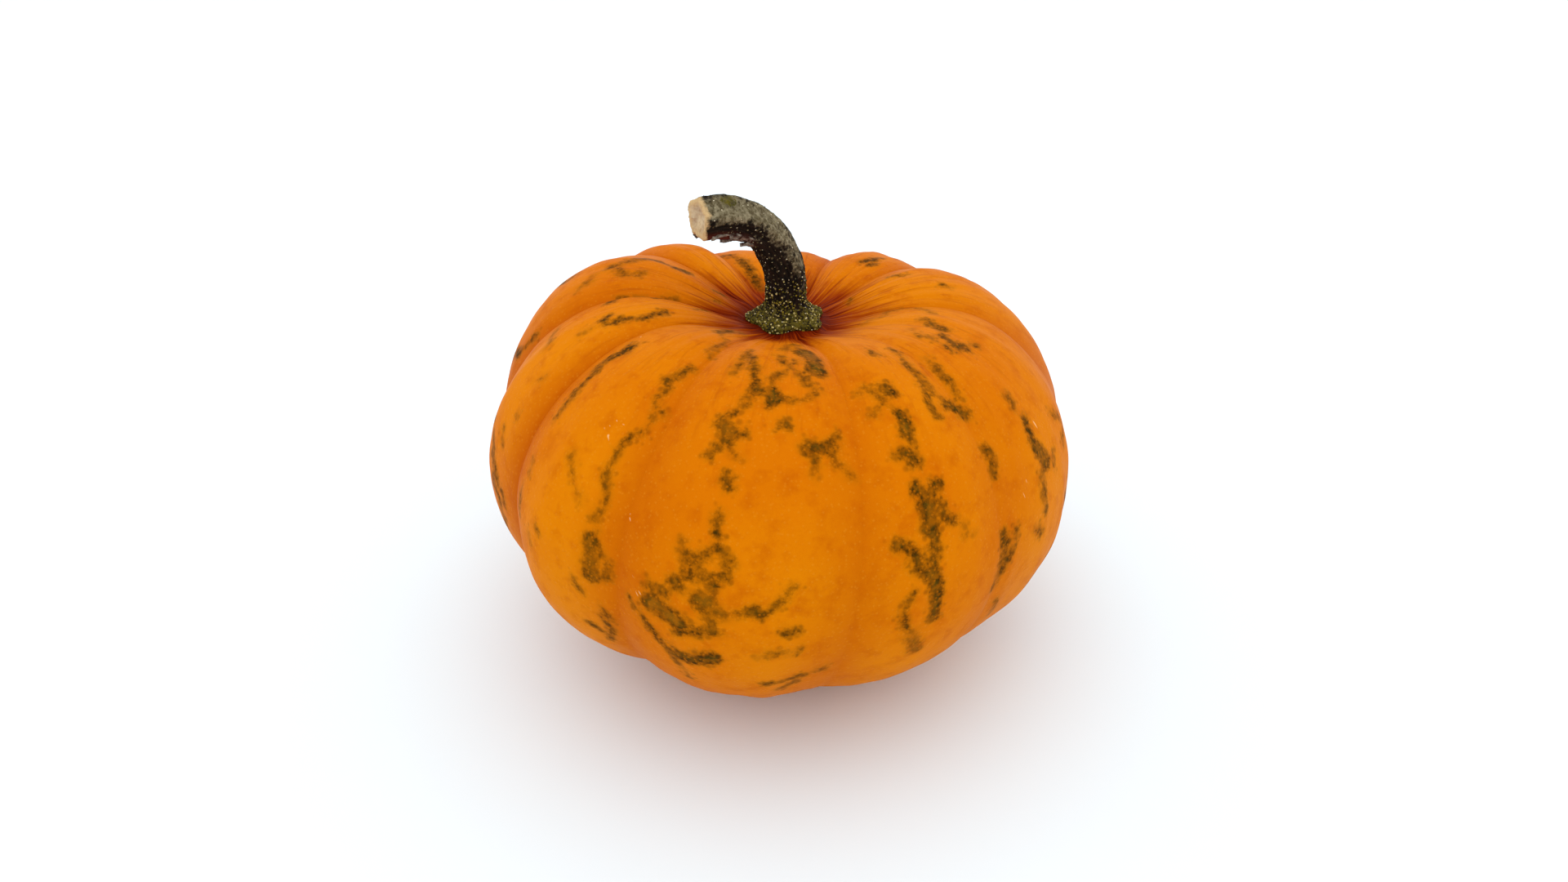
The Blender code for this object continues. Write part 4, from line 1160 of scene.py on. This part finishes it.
around_stem = put(strip, "ShaderNodeMath", (half_turn, size["Angle"]), operation="ADD")
lifted = put(strip, "ShaderNodeMath", (share, 1.6), operation="POWER")
reach = put(strip, "ShaderNodeMath", (lifted, size["Lift"], size["Bark"]),
            operation="MULTIPLY_ADD")
placed = put(strip, "GeometryNodeSetPosition", {"Geometry": sheet,
             "Position": stem_place(strip, size, along, around_stem, reach)})
thick = put(strip, "GeometryNodeExtrudeMesh", {"Mesh": placed, "Offset Scale": size["Thickness"],
                                               "Individual": False}, mode="FACES")
back = put(strip, "GeometryNodeFlipFaces", {"Mesh": placed})
both = put(strip, "GeometryNodeJoinGeometry")
for half in (thick, back):
    strip.links.new(half.outputs["Mesh"], both.inputs["Geometry"])
closed = put(strip, "GeometryNodeMergeByDistance", {"Geometry": both, "Distance": 1e-6})
plain = put(strip, "GeometryNodeRealizeInstances", {"Geometry": closed})
dry_strip = bpy.data.materials.new("torn_bark")
dressed = put(strip, "GeometryNodeSetMaterial", {"Geometry": plain, "Material": dry_strip})
put(strip, "NodeGroupOutput", {"Geometry": dressed})

# Torn bark: red-brown fibre outside, greyed in weathered patches.
dry_strip.use_nodes = True
look = dry_strip.node_tree
finish = look.nodes["Principled BSDF"]
place = put(look, "ShaderNodeTexCoord").outputs["Object"]
weather = put(look, "ShaderNodeTexNoise", {"Vector": place, "Scale": 1 / WEATHER_SIZE,
                                           "Detail": 3.0})
weathered = put(look, "ShaderNodeMapRange", {"Value": weather, "From Min": 0.36,
                                             "From Max": 0.6})
colour = put(look, "ShaderNodeMix", (weathered, TORN_BROWN, TORN_GREY), data_type="RGBA")
look.links.new(colour.outputs[2], finish.inputs["Base Color"])
finish.inputs["Roughness"].default_value = 0.85
finish.inputs["Specular IOR Level"].default_value = 0.2

for number, (held_at, angle, length, width, lift) in enumerate(STRIPS, 1):
    chosen = {**STRIP_SIZES, "Held at": held_at, "Angle": math.radians(angle),
              "Strip length": length, "Width": width, "Lift": lift}
    torn_strip = grown(f"torn_bark_{number}", bpy.data.meshes.new("no_base"), strip, chosen)
    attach(torn_strip, "root")

# ---- Floor ---------------------------------------------------------------------------------
# A wide sheet of matt white card that the pumpkin stands on. It reaches far enough to fill the
# view behind the pumpkin, and it shows a soft shadow and no gloss.
CARD_WHITE = linear("#E9F3F8")
FLOOR_REACH = 6.0

card = bpy.data.materials.new("white_card")
card.use_nodes = True
finish = card.node_tree.nodes["Principled BSDF"]
finish.inputs["Base Color"].default_value = CARD_WHITE
finish.inputs["Roughness"].default_value = 0.9
floor_mesh = bpy.data.meshes.new("floor")
floor_corners = [(x * FLOOR_REACH, y * FLOOR_REACH, 0.0) for x, y in ((-1, -1), (1, -1), (1, 1), (-1, 1))]
floor_mesh.from_pydata(floor_corners, [], [(0, 1, 2, 3)])
floor_mesh.materials.append(card)
floor = bpy.data.objects.new("floor", floor_mesh)
bpy.context.scene.collection.objects.link(floor)

# ---- Light and camera ----------------------------------------------------------------------
# A white tent lights the pumpkin evenly from all round, and one large soft lamp high above it,
# a little to the front left, deepens the shadow underneath.
TENT_WHITE = linear("#FFFFFF")
TENT_STRENGTH = 1.22
LAMP_WIDTH = 0.8
LAMP_POWER = 0.8
LAMP_PLACE = (-0.1, -0.15, 1.0)
LENS = 24.44
CAMERA_TARGET = Vector((0.0003, 0.0025, 0.0400))
CAMERA_ELEVATION = math.radians(28.5)
CAMERA_DISTANCE = 0.2336
NEAREST_SEEN = 0.01

tent = bpy.data.worlds.new("white_tent")
tent.use_nodes = True
tent.node_tree.nodes["Background"].inputs["Color"].default_value = TENT_WHITE
tent.node_tree.nodes["Background"].inputs["Strength"].default_value = TENT_STRENGTH
bpy.context.scene.world = tent
bpy.context.scene.view_settings.view_transform = "Standard"

lamp_data = bpy.data.lights.new("soft_lamp", "AREA")
lamp_data.size = LAMP_WIDTH
lamp_data.energy = LAMP_POWER
lamp = bpy.data.objects.new("soft_lamp", lamp_data)
lamp.location = LAMP_PLACE
lamp.rotation_euler = (-lamp.location).to_track_quat("-Z", "Y").to_euler()
bpy.context.scene.collection.objects.link(lamp)

camera_data = bpy.data.cameras.new("camera")
camera_data.lens = LENS
camera_data.clip_start = NEAREST_SEEN
camera = bpy.data.objects.new("camera", camera_data)
back = Vector((0.0, -math.cos(CAMERA_ELEVATION), math.sin(CAMERA_ELEVATION)))
camera.location = CAMERA_TARGET + back * CAMERA_DISTANCE
camera.rotation_euler = (-back).to_track_quat("-Z", "Y").to_euler()
bpy.context.scene.collection.objects.link(camera)
bpy.context.scene.camera = camera
